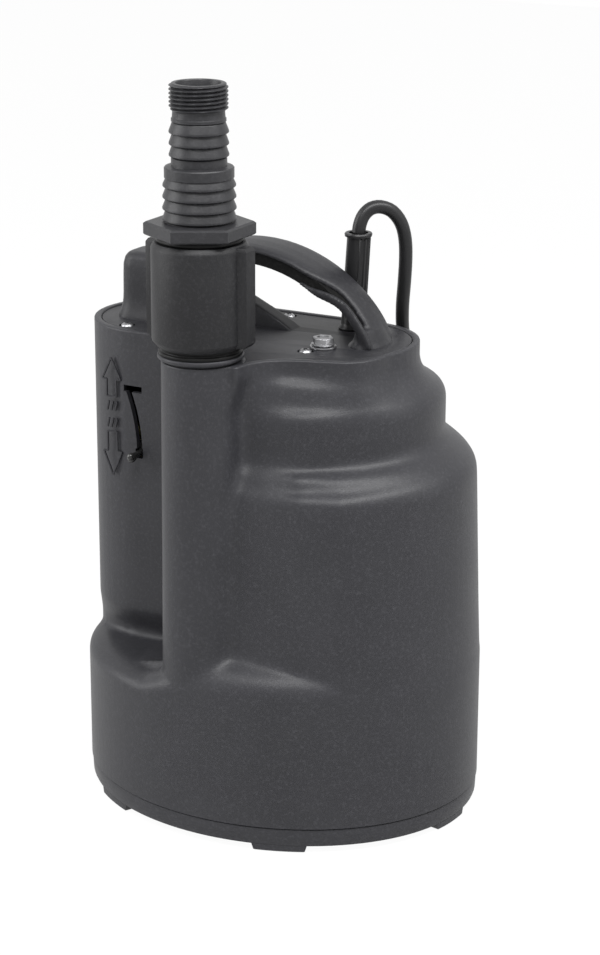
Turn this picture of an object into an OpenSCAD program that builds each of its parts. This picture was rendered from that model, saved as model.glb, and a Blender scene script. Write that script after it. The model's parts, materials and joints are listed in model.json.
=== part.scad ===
// Submersible clean water pump with a built-in float switch, a carrying handle and a stepped hose adapter.
// The origin is on the floor under the middle of the oval base, +Z is up and -Y is the outlet side.

/* [Housing] */
// Length of the oval base along X
base_len = 198.4; // [190:0.2:210]
// Width of the oval base along Y
base_wid = 169.8; // [160:0.2:180]
// Wall of the moulded housing
wall = 3.2; // [2.6:0.1:4]
// Height of the seam between base plate and housing
seam_z = 12.2; // [10:0.1:14]
// Height where the lower drum starts to round in
drum_low_z = 75; // [68:0.5:78]
// Height of the top of the main drum's ledge
drum_top_z = 178; // [170:0.5:184]
// Draft of the main drum between its shoulder and its ledge
drum_draft = 4.7; // [0:0.1:6]
// Distance of the motor axis from the middle of the base
motor_x = 13; // [11:0.1:14]
// Radius of the upper tier over the motor
tier_r = 66; // [64.5:0.1:68]
// Height where the upper tier starts to close in
tier_top_z = 207; // [200:0.5:209]
// Height of the rim round the cover
rim_z = 230.5; // [228.5:0.1:234]
// Radius of the rim's two round ends
rim_r = 37; // [36:0.1:39]
// X of the middle of the rim's left end
rim_left_x = -62.5; // [-65:0.1:-60]
// X of the middle of the rim's right end
rim_right_x = 31; // [29:0.1:33]

/* [Base] */
// Height of the feet under the base plate
foot_h = 3; // [2.5:0.1:5]
// Thickness of the base plate's floor
base_floor = 2.6; // [2:0.1:4]
// Number of feet
foot_count = 6; // [4:1:8]
// Number of suction slots
slot_count = 36; // [18:2:44]
// Width of a suction slot
suction_slot_w = 3; // [2:0.1:3.6]
// Diameter of a self-tapping screw
tapping_d = 4.2; // [3.5:0.1:4.5]

/* [Outlet] */
// X of the discharge tube
tube_x = -7; // [-9:0.1:-5]
// Y of the discharge tube
tube_y = -65; // [-66:0.1:-63.5]
// Outer radius of the discharge tube at its foot
tube_r = 19.8; // [19:0.1:21]
// Bore radius of the discharge tube
tube_bore = 13; // [11:0.1:13.5]
// Radius of the outlet thread, one inch nominal
stub_r = 16.6; // [16:0.1:17.2]
// Outer radius of the coupling
coupling_r = 22.2; // [21.6:0.1:24]
// Reach of the coupling's two ribs from its axis
coupling_rib_r = 26.3; // [25.4:0.1:28]
// Length of the coupling
coupling_len = 56.5; // [56:0.5:62]

/* [Hose adapter] */
// Distance across the flats of the hexagon
hex_af = 43.8; // [42:0.1:46]
// Thickness of the hexagon
hex_h = 5.9; // [5:0.1:8]
// Crest radius of the barbs for the larger hose
barb_big_r = 16.6; // [16:0.1:17.5]
// Crest radius of the barbs for the smaller hose
barb_small_r = 13.45; // [13:0.05:14]
// Depth of a barb
barb_depth = 1; // [0.6:0.05:1.3]
// Distance between two barbs
barb_pitch = 5.1; // [4.8:0.1:5.6]
// Radius of the thread at the tip, three quarter inch nominal
tip_r = 13.22; // [12.9:0.02:13.6]
// Length of the thread at the tip
tip_len = 12.2; // [9:0.1:16]
// Bore radius of the adapter
adapter_bore = 9.9; // [8:0.1:10.4]

/* [Motor] */
// Outer radius of the motor can
can_r = 47; // [45:0.1:47.4]
// Height of the bottom of the motor can
can_z = 74; // [72:0.5:76]
// Height of the top of the motor can
can_top_z = 186; // [184:0.5:188]
// Radius of the rotor
rotor_r = 25; // [22:0.1:26]
// Length of the stator stack
stack_len = 60; // [50:1:66]
// Air gap between rotor and stator
air_gap = 0.35; // [0.25:0.05:0.6]
// Radius of the impeller
impeller_r = 39; // [36:0.5:40]
// Outer radius of the pump chamber
volute_r = 46; // [44:0.5:47]
// Number of impeller vanes
vane_count = 6; // [4:1:8]

/* [Float] */
// Rise of the selector between its two stops
selector_rise = 28; // [20:0.5:29]
// Radius of the float
float_r = 18; // [15:0.5:19]
// Length of the float
float_len = 52; // [40:1:56]
// Radius of the arc that the selector follows
slot_arc_r = 80; // [70:1:100]
// Width of the selector's slot
slot_w = 3; // [2.8:0.1:3.6]

/* [Cover and handle] */
// Thickness of the cover plate
cover_t = 4.5; // [4:0.1:5.5]
// Width of the handle
handle_w = 26; // [22:0.5:30]
// Height of the handle above the cover
handle_h = 45; // [42:0.5:50]
// Thickness of the handle's strap
strap_t = 7; // [6:0.1:9]

/* [Cable] */
// Diameter of the cable
cable_d = 6.5; // [6:0.1:7]
// Inner radius of the coil
coil_in = 45; // [43:1:48]
// Turns that lie side by side in the coil
coil_cols = 4; // [3:1:4]
// Layers of turns in the coil
coil_rows = 7; // [5:1:8]

/* [Hidden] */
$fn = 64;
// Small overlap of solids that are one piece, and of cutters past a face
eps = 0.01;
cut = 1;
// Gap between two pieces that only touch
gap = 0.3;
// Gap on the radius of a running fit
run = 0.05;

base_a = base_len / 2;
base_b = base_wid / 2;
cover_inset = 3.5;
cover_z = rim_z - 0.5;
ledge_z = cover_z - cover_t;
ledge_inset = 7;
panel_y = -rim_r;
shoulder_h = 9;
shoulder_in = 11;
ledge_round = 5;
ledge_rise = 8;
shoulder_drop = 8;

// Depth and length of a foot along the edge of the base, and the turn of the first one
foot_depth = 9;
foot_angle = 15;
foot_first = -6;
centre_foot_r = 10;
base_screw_inset = 7;
base_screw_angles = [-36, -96, -156, 144, 84, 24];
boss_r = 4.6;
tapping_core = tapping_d / 2 - 0.4;

// Discharge tube, its foot under the pump chamber's spigot, and its stub
tube_foot_z = 17;
port_z = 31;
port_r = 8.5;
tube_top_z = 222;
tube_top_r = tube_r - 1.6;
web_x = tube_x - 17;
neck_r = tube_r;
coupling_z = 228.8;
stub_top_z = coupling_z + 16;
coupling_top_z = coupling_z + coupling_len;
seal_t = 2.8;
hex_z = coupling_top_z + seal_t;
barbs_z = hex_z + hex_h;
tip_z = barbs_z + 62 - tip_len;
adapter_top_z = tip_z + tip_len;
flap_seat_z = coupling_z + 21.1;
flap_r = 13;
flap_pin_x = 13.6;
flap_pin_r = 0.8;

// Motor stack along the motor axis
shaft_end_z = 17.5;
shaft_top_z = 182;
pump_step_z = 60;
rotor_step_z = 81;
core_r = 9;
impeller_z = 19.5;
impeller_h = 17.5;
chamber_floor_z = 14.5;
chamber_top_z = 43;
bracket_z = 66;
bearing_low_r = 17.5;
bearing_low_w = 11;
bearing_up_r = 16;
bearing_up_w = 10;
journal_low = 7.5;
journal_up = 6;
journal_pump = 5;
upper_bracket_z = 172;
stack_z = 94;
can_wall = 1.5;
cap_cup_r = 31.5;
cap_cup_z = 212;
cap_wall = 2.5;
capacitor_r = 9;

// Float chamber parts, with the selector at its lower stop
float_x = -71;
rod_r = 3;
slot_x = -58.2;
slot_z = 171;
arc_x = slot_x - slot_arc_r;
slot_low = 3;
groove_h = 5;
groove_r = float_r - 4;
float_z = slot_z + groove_h / 2 + 4 - float_len;
magnet_h = 6;
switch_x = float_x + float_r + 3.5;
switch_t = 3;
switch_w = 10;
shoe_w = 5;
shoe_h = 6;
shoe_gap = 0.5;
arm_y = -30;
arm_t = 2.5;
fork_x = float_x + 5;
fork_w = 3;
hook_len = 8;
hook_h = 3.4;
selector_out = 8;
ball_r = 1.9;

// Places of the cover's screws, the bolt, and the cable's way out
cover_screws_xy = [[-71, -26], [-30, -27.6], [27, -28], [46, 24], [-12, 27.6], [-71, 26]];
bolt_xy = [33.5, -18.5];
gland_xy = [26.5, 20];
bolt_d = 6;
bolt_af = 10;
sleeve_tilt = 3.5;
sleeve_top_z = 277;
sleeve_r = 5.4;

// Handle outline, from the tower on the left over the arch to the foot on the right
tower_left = -84.5;
tower_right = -50;
tower_z = 262;
arch_x = -15;
arch_reach = 69;

// Coil and plug on the floor behind the pump
coil_x = -80;
coil_y = 142;
coil_w = coil_cols * cable_d;
coil_h = coil_rows * cable_d;
coil_mid = coil_in + coil_w / 2;
plug_r = 18.5;
plug_len = 32.5;
plug_x = coil_x - 18;
plug_y = coil_y + 11;
plug_pin_r = 2.4;
plug_pin_len = 19;
plug_pitch = 19;

// Route of the free cable from the sleeve's top to the coil, and of its tail from the coil to the plug
cable_top = [gland_xy[0] + (sleeve_top_z - cover_z) * sin(sleeve_tilt), gland_xy[1], sleeve_top_z];
cable_pts = [cable_top, [29.9, 20.4, 281], [31, 22, 285], [33.5, 24.5, 288], [37, 28, 288.5], [41, 32, 286],
    [44, 35.5, 280], [45, 38, 272], [44.5, 40, 262], [43, 42, 250], [41, 44.5, 238], [38.5, 50, 226],
    [36, 58, 216.5], [33, 67, 210], [31, 74, 201], [28, 82, 192.5], [25, 90, 185], [22, 94, 173],
    [19, 95, 160], [15, 95.5, 145], [11, 96, 130], [7, 96.5, 115], [3, 97, 100], [0, 97.5, 85],
    [-2, 98.5, 70], [-3, 100.4, 55], [-3.4, 101, 41.3], [-3.6, 102.3, 31.5], [-4.2, 106.1, 22.3],
    [-5.4, 112.1, 14.4], [-7, 120, 8.4], [-8.8, 129.2, 4.6], [-10.9, 139, 3.3], [-12, 144, 3.3]];
tail_pts = [[-47.4, 106.4, 9.8], [-43.4, 111.5, 10], [-40.3, 117, 10.6], [-38.7, 126.2, 12.2],
    [-40.3, 135.4, 14.2], [-46.5, 145.2, 16.7], [-55.5, 151.6, 18.3], [-61.5, 153, 18.5], [-65.2, 153, 18.5]];

// Outer edge of the rim's ear from the discharge tube to the right end
ear_edge = [for (p = [[22, -75], [22.2, -68], [23.4, -61.5], [26.5, -55.5], [32, -50.2], [39, -46.6],
    [47, -43.8], [55, -41.2], [61, -38.6], [66, -34.4], [69.8, -26.5], [71.6, -17], [72.5, -9]]) [tube_x + p[0], p[1]]];

// Points on an arc
function arc(cx, cy, r, a0, a1, n) = [for (i = [0:n]) let (a = a0 + (a1 - a0) * i / n)
    [cx + r * cos(a), cy + r * sin(a)]];
// The oval of the base, drawn in by a margin
function oval(inset) = [for (i = [0:71]) [(base_a - inset) * cos(5 * i), (base_b - inset) * sin(5 * i)]];
// The upper tier's outline round the motor axis
function tier(inset) = [for (i = [0:63]) [motor_x + (tier_r - inset) * cos(360 * i / 64),
    (tier_r - inset) * sin(360 * i / 64)]];
// The rim's outline with its two round ends
function rim(inset) = concat(arc(rim_right_x, 0, rim_r - inset, -90, 90, 20),
    arc(rim_left_x, 0, rim_r - inset, 90, 270, 20));
// The middle of the housing: float chamber on the left, round drum on the right, flatter beside the tube
function middle(inset) = concat(
    [[web_x + inset, panel_y + inset], [web_x + inset, tube_y + 5 + inset], [tube_x, -base_b + 14.9 + inset],
        [27, -base_b + 12.9 + inset], [45, -base_b + 14.4 + inset]],
    [for (i = [0:31]) spot(-50 + 5 * i, inset)],
    [[-29 + inset, 60], [-38, rim_r - inset]],
    arc(rim_left_x, 0, rim_r - inset, 90, 270, 20));
// The ear of the rim and the cover that sweeps from the right end to the discharge tube
function ear(inset) = concat([[tube_x, -rim_r / 2], [tube_x, tube_y]],
    [for (i = [1:len(ear_edge) - 2]) let (t = unit(ear_edge[i + 1] - ear_edge[i - 1]))
        ear_edge[i] + inset * [-t[1], t[0]]],
    [[rim_right_x, 0]]);
// The right end of the rim's outline, under the shoulder that runs down to the upper tier
function rim_end(inset) = concat(arc(rim_right_x, 0, rim_r - inset, -90, 90, 20),
    [[0, rim_r - inset], [0, -rim_r + inset]]);
function spot(angle, inset) = [(base_a - inset) * cos(angle), (base_b - inset) * sin(angle)];

// A straight prism of an outline between two heights
module prism(points, z0, z1) {
    translate([0, 0, z0]) linear_extrude(z1 - z0) polygon(points);
}
// A ring between two radii
module ring(r_out, r_in, z0, z1) {
    difference() {
        translate([0, 0, z0]) cylinder(r = r_out, h = z1 - z0);
        translate([0, 0, z0 - cut]) cylinder(r = r_in, h = z1 - z0 + 2 * cut);
    }
}
// A round bar along Z between two heights
module rod(r, z0, z1) {
    translate([0, 0, z0]) cylinder(r = r, h = z1 - z0);
}
module on_motor() {
    translate([motor_x, 0, 0]) children();
}
module on_tube() {
    translate([tube_x, tube_y, 0]) children();
}
module at_xy(p) {
    translate([p[0], p[1], 0]) children();
}
// A hexagon prism across its flats
module hexagon(af, z0, z1) {
    translate([0, 0, z0]) cylinder(r = af / sqrt(3), h = z1 - z0, $fn = 6);
}

// Closed tube swept along a list of points, with one ring of sides at each point
function unit(v) = v / norm(v);
function tangent(p, i) = unit(p[min(i + 1, len(p) - 1)] - p[max(i - 1, 0)]);
function side_dir(t) = unit(cross(t, abs(t[0]) < 0.8 ? [1, 0, 0] : [0, 1, 0]));
function carry(p, i) = i == 0 ? side_dir(tangent(p, 0))
    : let (t = tangent(p, i), s = carry(p, i - 1)) unit(s - (s * t) * t);
module sweep(p, r, sides) {
    rings = [for (i = [0:len(p) - 1]) let (t = tangent(p, i), s = carry(p, i), u = cross(t, s))
        for (k = [0:sides - 1]) p[i] + r * (s * cos(360 * k / sides) + u * sin(360 * k / sides))];
    corner = function (i, k) i * sides + k % sides;
    skin = [for (i = [0:len(p) - 2], k = [0:sides - 1])
        each [[corner(i, k), corner(i + 1, k), corner(i + 1, k + 1)],
            [corner(i, k), corner(i + 1, k + 1), corner(i, k + 1)]]];
    start = [for (k = [0:sides - 1]) k];
    finish = [for (k = [0:sides - 1]) len(p) * sides - 1 - k];
    polyhedron(rings, concat([start], [finish], skin));
}

module base_plate() color([0.2, 0.2, 0.21]) {
    difference() {
        union() {
            prism(oval(0.8), foot_h, seam_z - gap / 2);
            for (i = [0:foot_count - 1]) foot(foot_first - i * 360 / foot_count);
            rod(centre_foot_r, 0, foot_h + eps);
        }
        prism(oval(wall + 0.8), foot_h + base_floor, seam_z + cut);
        for (i = [0:slot_count - 1]) suction_slot((i + 0.5) * 360 / slot_count);
        for (a = base_screw_angles) at_xy(spot(a, base_screw_inset)) {
            rod(tapping_d / 2 + 0.2, -cut, seam_z + cut);
            rod(tapping_d, foot_h - cut, foot_h + 1.6);
        }
    }
    for (a = base_screw_angles) at_xy(spot(a, base_screw_inset))
        ring(boss_r, tapping_d / 2 + 0.2, foot_h + 1.6, seam_z - gap / 2);
}
// One foot, a short length of the oval's edge
module foot(angle) {
    intersection() {
        difference() {
            prism(oval(0.8), 0, foot_h + eps);
            prism(oval(foot_depth), -cut, foot_h + cut);
        }
        linear_extrude(foot_h + eps) polygon(concat([[0, 0]], [for (s = [-1, 1])
            2 * spot(angle + s * foot_angle / 2, 0)]));
    }
}
module suction_slot(angle) {
    rotate([0, 0, angle]) translate([base_b - 40, -suction_slot_w / 2, foot_h - cut])
        cube([20, suction_slot_w, base_floor + 2 * cut]);
}

module base_screws() color([0.75, 0.75, 0.76]) {
    for (a = base_screw_angles) at_xy(spot(a, base_screw_inset)) {
        rod(tapping_d - 0.4, foot_h, foot_h + 1.6 - 0.02);
        rod(tapping_core - 0.02, foot_h + 1.5, seam_z + 12);
    }
}

module housing() color([0.27, 0.27, 0.28]) {
    difference() {
        union() {
            difference() {
                housing_outside();
                housing_inside();
            }
            housing_bosses();
            discharge_tube();
        }
        on_tube() {
            rod(tube_bore, tube_foot_z + 4, stub_top_z + cut);
            translate([0, 0, port_z]) rotate([-90, 0, 0]) cylinder(r = port_r + 1.7, h = tube_r + cut);
        }
        for (a = base_screw_angles) at_xy(spot(a, base_screw_inset))
            rod(tapping_core, seam_z - cut, seam_z + 15);
        for (p = cover_screws_xy) at_xy(p) rod(tapping_core, ledge_z - 10, ledge_z + cut);
        selector_slot();
    }
}
module housing_outside() {
    prism(oval(0), seam_z + gap / 2, drum_low_z);
    hull() {
        prism(oval(0), drum_low_z - eps, drum_low_z);
        prism(oval(shoulder_in), drum_low_z + shoulder_h - eps, drum_low_z + shoulder_h);
    }
    intersection() {
        drum_tiers(0);
        prism(middle(0), drum_low_z, rim_z - shoulder_drop);
    }
    prism(rim(0), drum_low_z, rim_z);
    prism(ear(0), rim_z - 15, rim_z);
}
module housing_inside() {
    prism(oval(wall), seam_z - cut, drum_low_z - 1);
    hull() {
        prism(oval(wall), drum_low_z - 1 - eps, drum_low_z - 1);
        prism(oval(wall + shoulder_in), drum_low_z + shoulder_h - wall - eps,
            drum_low_z + shoulder_h - wall);
    }
    intersection() {
        translate([0, 0, -wall]) drum_tiers(wall);
        prism(middle(wall), drum_low_z - 2, rim_z);
    }
    prism(rim(wall), drum_low_z - 2, ledge_z - 3.5);
    prism(rim(ledge_inset), ledge_z - 4, rim_z + cut);
    prism(rim(cover_inset), ledge_z, rim_z + cut);
    prism(ear(cover_inset), ledge_z, rim_z + cut);
}
// Main drum with its ledge, the upper tier, and the shoulder up to the rim, drawn in by a margin
module drum_tiers(inset) {
    hull() {
        prism(oval(inset), drum_low_z, drum_low_z + 1);
        prism(oval(inset + drum_draft), drum_low_z, drum_top_z - ledge_round);
        prism(oval(inset + drum_draft + 1.5), drum_low_z, drum_top_z);
        prism(oval(inset + drum_draft + ledge_round), drum_low_z, drum_top_z + 2);
        prism(tier(inset), drum_low_z, drum_top_z + ledge_rise);
    }
    prism(tier(inset), drum_low_z, tier_top_z);
    hull() {
        prism(tier(inset), tier_top_z - eps, tier_top_z);
        prism(rim_end(inset), rim_z - shoulder_drop - eps, rim_z - shoulder_drop);
    }
}
module housing_bosses() {
    for (a = base_screw_angles) at_xy(spot(a, base_screw_inset))
        rod(boss_r, seam_z + gap / 2, seam_z + 16);
    intersection() {
        for (p = cover_screws_xy) at_xy(p) rod(boss_r, ledge_z - 11, ledge_z);
        prism(rim(1), ledge_z - 12, rim_z);
    }
}
// Tube from the pump chamber up to the threaded stub
module discharge_tube() {
    on_tube() {
        translate([0, 0, tube_foot_z]) cylinder(r1 = tube_r, r2 = tube_top_r, h = tube_top_z - tube_foot_z);
        rod(neck_r, tube_top_z - 4, coupling_z);
        rod(stub_r, coupling_z - eps, stub_top_z);
    }
}
// Curved slot for the selector, with the short leg that it is parked in at the top
module selector_slot() {
    translate([arc_x, panel_y - cut, slot_z]) rotate([-90, 0, 0]) intersection() {
        difference() {
            cylinder(r = slot_arc_r + slot_w / 2, h = wall + 2 * cut, $fn = 180);
            translate([0, 0, -cut]) cylinder(r = slot_arc_r - slot_w / 2, h = wall + 4 * cut, $fn = 180);
        }
        translate([0, -selector_rise - slot_low, -cut])
            cube([2 * slot_arc_r, selector_rise + 2 * slot_low, wall + 4 * cut]);
    }
    translate([slot_x - 6.5, panel_y - cut, slot_z + selector_rise - 0.5])
        cube([hook_len, wall + 2 * cut, hook_h]);
}

module pump_chamber_floor() color([0.2, 0.2, 0.21]) on_motor() {
    difference() {
        rod(volute_r, chamber_floor_z, chamber_floor_z + 3);
        rod(15.5, chamber_floor_z - cut, chamber_floor_z + 4);
    }
}
module pump_chamber() color([0.2, 0.2, 0.21]) difference() {
    union() {
        on_motor() {
            ring(volute_r, volute_r - 4, chamber_floor_z + 3 + run, chamber_top_z);
            ring(volute_r - 3, 13, chamber_top_z - 3, chamber_top_z);
        }
        difference() {
            translate([tube_x, 0, port_z]) rotate([90, 0, 0]) cylinder(r = port_r, h = -tube_y - tube_r + 6);
            on_motor() rod(volute_r - 1, chamber_floor_z, chamber_top_z + cut);
        }
    }
    translate([tube_x, cut, port_z]) rotate([90, 0, 0]) cylinder(r = port_r - 2.2, h = 60);
}
module chamber_seal() color([0.08, 0.08, 0.08]) {
    translate([tube_x, tube_y + tube_r - 3, port_z]) rotate([-90, 0, 0])
        ring(port_r + 1.65, port_r + run, 0, 2.2);
}

module impeller() color([0.85, 0.78, 0.6]) on_motor() {
    ring(impeller_r, journal_pump, impeller_z + impeller_h - 3, impeller_z + impeller_h);
    ring(impeller_r, 14.5, impeller_z, impeller_z + 2);
    ring(9, journal_pump, impeller_z + 4, impeller_z + impeller_h - 2);
    for (i = [0:vane_count - 1]) rotate([0, 0, i * 360 / vane_count]) vane();
}
// One backward curved vane
module vane() {
    translate([0, 0, impeller_z + 1]) intersection() {
        translate([0, -impeller_r * 0.55, 0]) difference() {
            cylinder(r = impeller_r * 0.62, h = impeller_h - 3);
            translate([0, 0, -cut]) cylinder(r = impeller_r * 0.62 - 2, h = impeller_h);
        }
        translate([12, -impeller_r, 0]) cube([impeller_r, 2 * impeller_r, impeller_h - 3]);
        cylinder(r = impeller_r - 0.2, h = impeller_h);
    }
}
module impeller_nut() color([0.72, 0.52, 0.2]) on_motor() {
    difference() {
        hexagon(10, impeller_z - 1.6, impeller_z + 3.9);
        rod(3.5 + run, impeller_z - 3, impeller_z + 5);
    }
}
module shaft() color([0.72, 0.73, 0.75]) on_motor() {
    rod(3.5, shaft_end_z, impeller_z + 5);
    rod(journal_pump - run, impeller_z + 4, pump_step_z);
    rod(journal_low - run, pump_step_z - 2, rotor_step_z + 1);
    rod(core_r - run / 2, rotor_step_z, stack_z + stack_len + 8);
    rod(journal_up - run, stack_z + stack_len + 7, shaft_top_z);
}
module shaft_seal_ring() color([0.15, 0.15, 0.16]) on_motor() ring(9.5, journal_pump, 46.5, 51);
module shaft_seal_spring() color([0.75, 0.76, 0.78]) on_motor() {
    for (i = [0:4]) translate([0, 0, impeller_z + impeller_h + 0.95 + 1.9 * i])
        rotate_extrude() translate([8, 0]) circle(r = 0.9, $fn = 24);
}
module shaft_seal_seat() color([0.85, 0.85, 0.83]) on_motor() ring(10.5, journal_pump + 0.6, 51 + run, 56);
module oil_chamber() color([0.62, 0.63, 0.65]) on_motor() {
    ring(34, 28, chamber_top_z + run, bracket_z - run);
    ring(29, 11, chamber_top_z + run, chamber_top_z + 3);
    difference() {
        ring(16, 10.5 + run, chamber_top_z + 2, 56);
        rod(11, chamber_top_z, 51);
    }
}
module lower_bracket() color([0.62, 0.63, 0.65]) on_motor() {
    difference() {
        union() {
            rod(can_r, bracket_z, can_z - run);
            rod(24, bracket_z - 5, bracket_z + eps);
        }
        rod(bearing_low_r, bracket_z - 2, can_z + cut);
        rod(journal_low + 1, bracket_z - 6, can_z);
    }
}
// Deep groove bearing: the rings and the balls between them
module bearing_outer(r, w, z) on_motor() ring(r - run, r - 3.4, z, z + w);
module bearing_inner(r, journal, w, z) on_motor() ring(journal + 2.6, journal, z, z + w);
module bearing_balls(r, journal, w, z) {
    mid = (r - 3.4 + journal + 2.6) / 2;
    ball = (r - 3.4 - journal - 2.6) / 2 - run;
    on_motor() for (i = [0:7]) rotate([0, 0, 45 * i]) translate([mid, 0, z + w / 2])
        sphere(r = ball, $fn = 24);
}
module lower_bearing_outer() color([0.7, 0.71, 0.73])
    bearing_outer(bearing_low_r, bearing_low_w, bracket_z - 2);
module lower_bearing_inner() color([0.7, 0.71, 0.73])
    bearing_inner(bearing_low_r, journal_low, bearing_low_w, bracket_z - 2);
module lower_bearing_balls() color([0.8, 0.81, 0.83])
    bearing_balls(bearing_low_r, journal_low, bearing_low_w, bracket_z - 2);
module upper_bearing_outer() color([0.7, 0.71, 0.73])
    bearing_outer(bearing_up_r, bearing_up_w, upper_bracket_z);
module upper_bearing_inner() color([0.7, 0.71, 0.73])
    bearing_inner(bearing_up_r, journal_up, bearing_up_w, upper_bracket_z);
module upper_bearing_balls() color([0.8, 0.81, 0.83])
    bearing_balls(bearing_up_r, journal_up, bearing_up_w, upper_bracket_z);

module rotor_core() color([0.5, 0.51, 0.53]) on_motor() ring(rotor_r, 9, stack_z, stack_z + stack_len);
module rotor_end_rings() color([0.78, 0.79, 0.8]) on_motor() for (z = [stack_z - 6, stack_z + stack_len])
    ring(rotor_r - 2, 14, z, z + 6);
module stator_core() color([0.42, 0.43, 0.45]) on_motor() difference() {
    ring(can_r - can_wall - run, rotor_r + air_gap, stack_z, stack_z + stack_len);
    for (i = [0:23]) rotate([0, 0, 15 * i]) translate([rotor_r + 3, -1.5, stack_z - cut])
        cube([10, 3, stack_len + 2 * cut]);
}
module stator_windings() color([0.72, 0.36, 0.16]) on_motor() for (z = [stack_z - 13, stack_z + stack_len])
    ring(can_r - 6, rotor_r + 4, z, z + 13);
module motor_can() color([0.7, 0.71, 0.73]) on_motor() ring(can_r, can_r - can_wall, can_z, can_top_z);
module upper_bracket() color([0.62, 0.63, 0.65]) on_motor() difference() {
    union() {
        rod(can_r - can_wall - run, upper_bracket_z, upper_bracket_z + 4);
        rod(bearing_up_r + 4, upper_bracket_z, can_top_z - 2);
    }
    rod(bearing_up_r, upper_bracket_z - cut, upper_bracket_z + bearing_up_w + gap);
    for (i = [0:5]) rotate([0, 0, 60 * i])
        translate([(can_r + bearing_up_r + 3) / 2, 0, upper_bracket_z - cut])
        cylinder(r = 8, h = 6);
}
module motor_cap() color([0.2, 0.2, 0.21]) difference() {
    union() {
        on_motor() {
            ring(can_r, cap_cup_r - cap_wall, can_top_z + gap, can_top_z + 4);
            ring(cap_cup_r, cap_cup_r - cap_wall, can_top_z + 3, cap_cup_z);
            rod(cap_cup_r, cap_cup_z - cap_wall, cap_cup_z);
        }
        at_xy(bolt_xy) rod(5.5, cap_cup_z - 8, ledge_z - gap);
        at_xy(gland_xy) rod(7.5, cap_cup_z - 8, ledge_z - gap);
    }
    at_xy(bolt_xy) rod(bolt_d / 2, cap_cup_z - 4, ledge_z + cut);
    at_xy(gland_xy) rod(cable_d / 2 + run, cap_cup_z - 20, ledge_z + cut);
}
module motor_cap_seal() color([0.08, 0.08, 0.08]) on_motor()
    ring(can_r - 4, can_r - 7, can_top_z - 1.2, can_top_z + gap);
module capacitor() color([0.85, 0.86, 0.87]) {
    translate([motor_x - 24, -2, cap_cup_z - cap_wall - capacitor_r - run]) rotate([0, 90, 0]) {
        cylinder(r = capacitor_r, h = 40);
        cylinder(r = capacitor_r - 3, h = 43);
    }
}

module float() color([0.85, 0.8, 0.35]) at_xy([float_x, 0]) difference() {
    rod(float_r, float_z, float_z + float_len);
    rod(rod_r + 0.6, float_z - cut, float_z + float_len + cut);
    ring(float_r + cut, groove_r, slot_z - groove_h / 2, slot_z + groove_h / 2);
}
module float_magnet() color([0.3, 0.3, 0.32]) at_xy([float_x, 0])
    ring(float_r - 6, rod_r + 0.6, float_z + float_len, float_z + float_len + magnet_h);
module float_rod() color([0.75, 0.76, 0.78]) at_xy([float_x, 0]) {
    rod(rod_r, float_z - 7, ledge_z - run);
    ring(7, rod_r - eps, float_z - 4, float_z - run);
}
// Potted switch that hangs from the cover between the float and the motor
module reed_switch() color([0.15, 0.35, 0.2]) translate([switch_x, -switch_w / 2, slot_z + 5])
    cube([switch_t, switch_w, ledge_z - run - slot_z - 5]);
// Slider in the curved slot: ball and stem outside, shoe and arm behind the panel,
// fork in the float's groove
module selector() color([0.12, 0.12, 0.13]) {
    translate([slot_x, panel_y - selector_out, slot_z]) {
        rotate([-90, 0, 0]) cylinder(r = slot_w / 2 - 0.15, h = selector_out + wall + 1);
        sphere(r = ball_r, $fn = 32);
    }
    translate([slot_x - shoe_w / 2, panel_y + wall + shoe_gap, slot_z - shoe_h / 2])
        cube([shoe_w, arm_y - panel_y - wall - shoe_gap + eps, shoe_h]);
    translate([fork_x, arm_y, slot_z - 4]) cube([slot_x + shoe_w / 2 - fork_x, arm_t, 8]);
    translate([fork_x, arm_y + arm_t - eps, slot_z - fork_w / 2])
        cube([fork_w, -arm_y - arm_t - groove_r - 0.3, fork_w]);
}

module top_cover() color([0.24, 0.24, 0.25]) difference() {
    union() {
        prism(rim(cover_inset + gap), ledge_z, cover_z);
        difference() {
            prism(ear(cover_inset + gap), ledge_z, cover_z);
            on_tube() rod(neck_r + gap, ledge_z - cut, rim_z + cut);
        }
        translate([0, handle_w / 2, 0]) rotate([90, 0, 0])
            linear_extrude(handle_w) polygon(handle_outline());
    }
    difference() {
        translate([0, handle_w / 2 - 3, 0]) rotate([90, 0, 0])
            linear_extrude(handle_w - 6) polygon(tower_hollow());
        at_xy([float_x, 0]) rod(rod_r + 3, ledge_z, tower_z);
        translate([switch_x - 2, -switch_w / 2 - 1, ledge_z])
            cube([switch_t + 3, switch_w + 2, tower_z - cover_z]);
    }
    for (p = cover_screws_xy) at_xy(p) rod(tapping_d / 2 + 0.2, ledge_z - cut, cover_z + cut);
    at_xy(bolt_xy) rod(bolt_d / 2 + 0.3, ledge_z - cut, cover_z + cut);
    at_xy(gland_xy) rod(sleeve_r + 1, ledge_z - cut, cover_z + cut);
}
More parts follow.
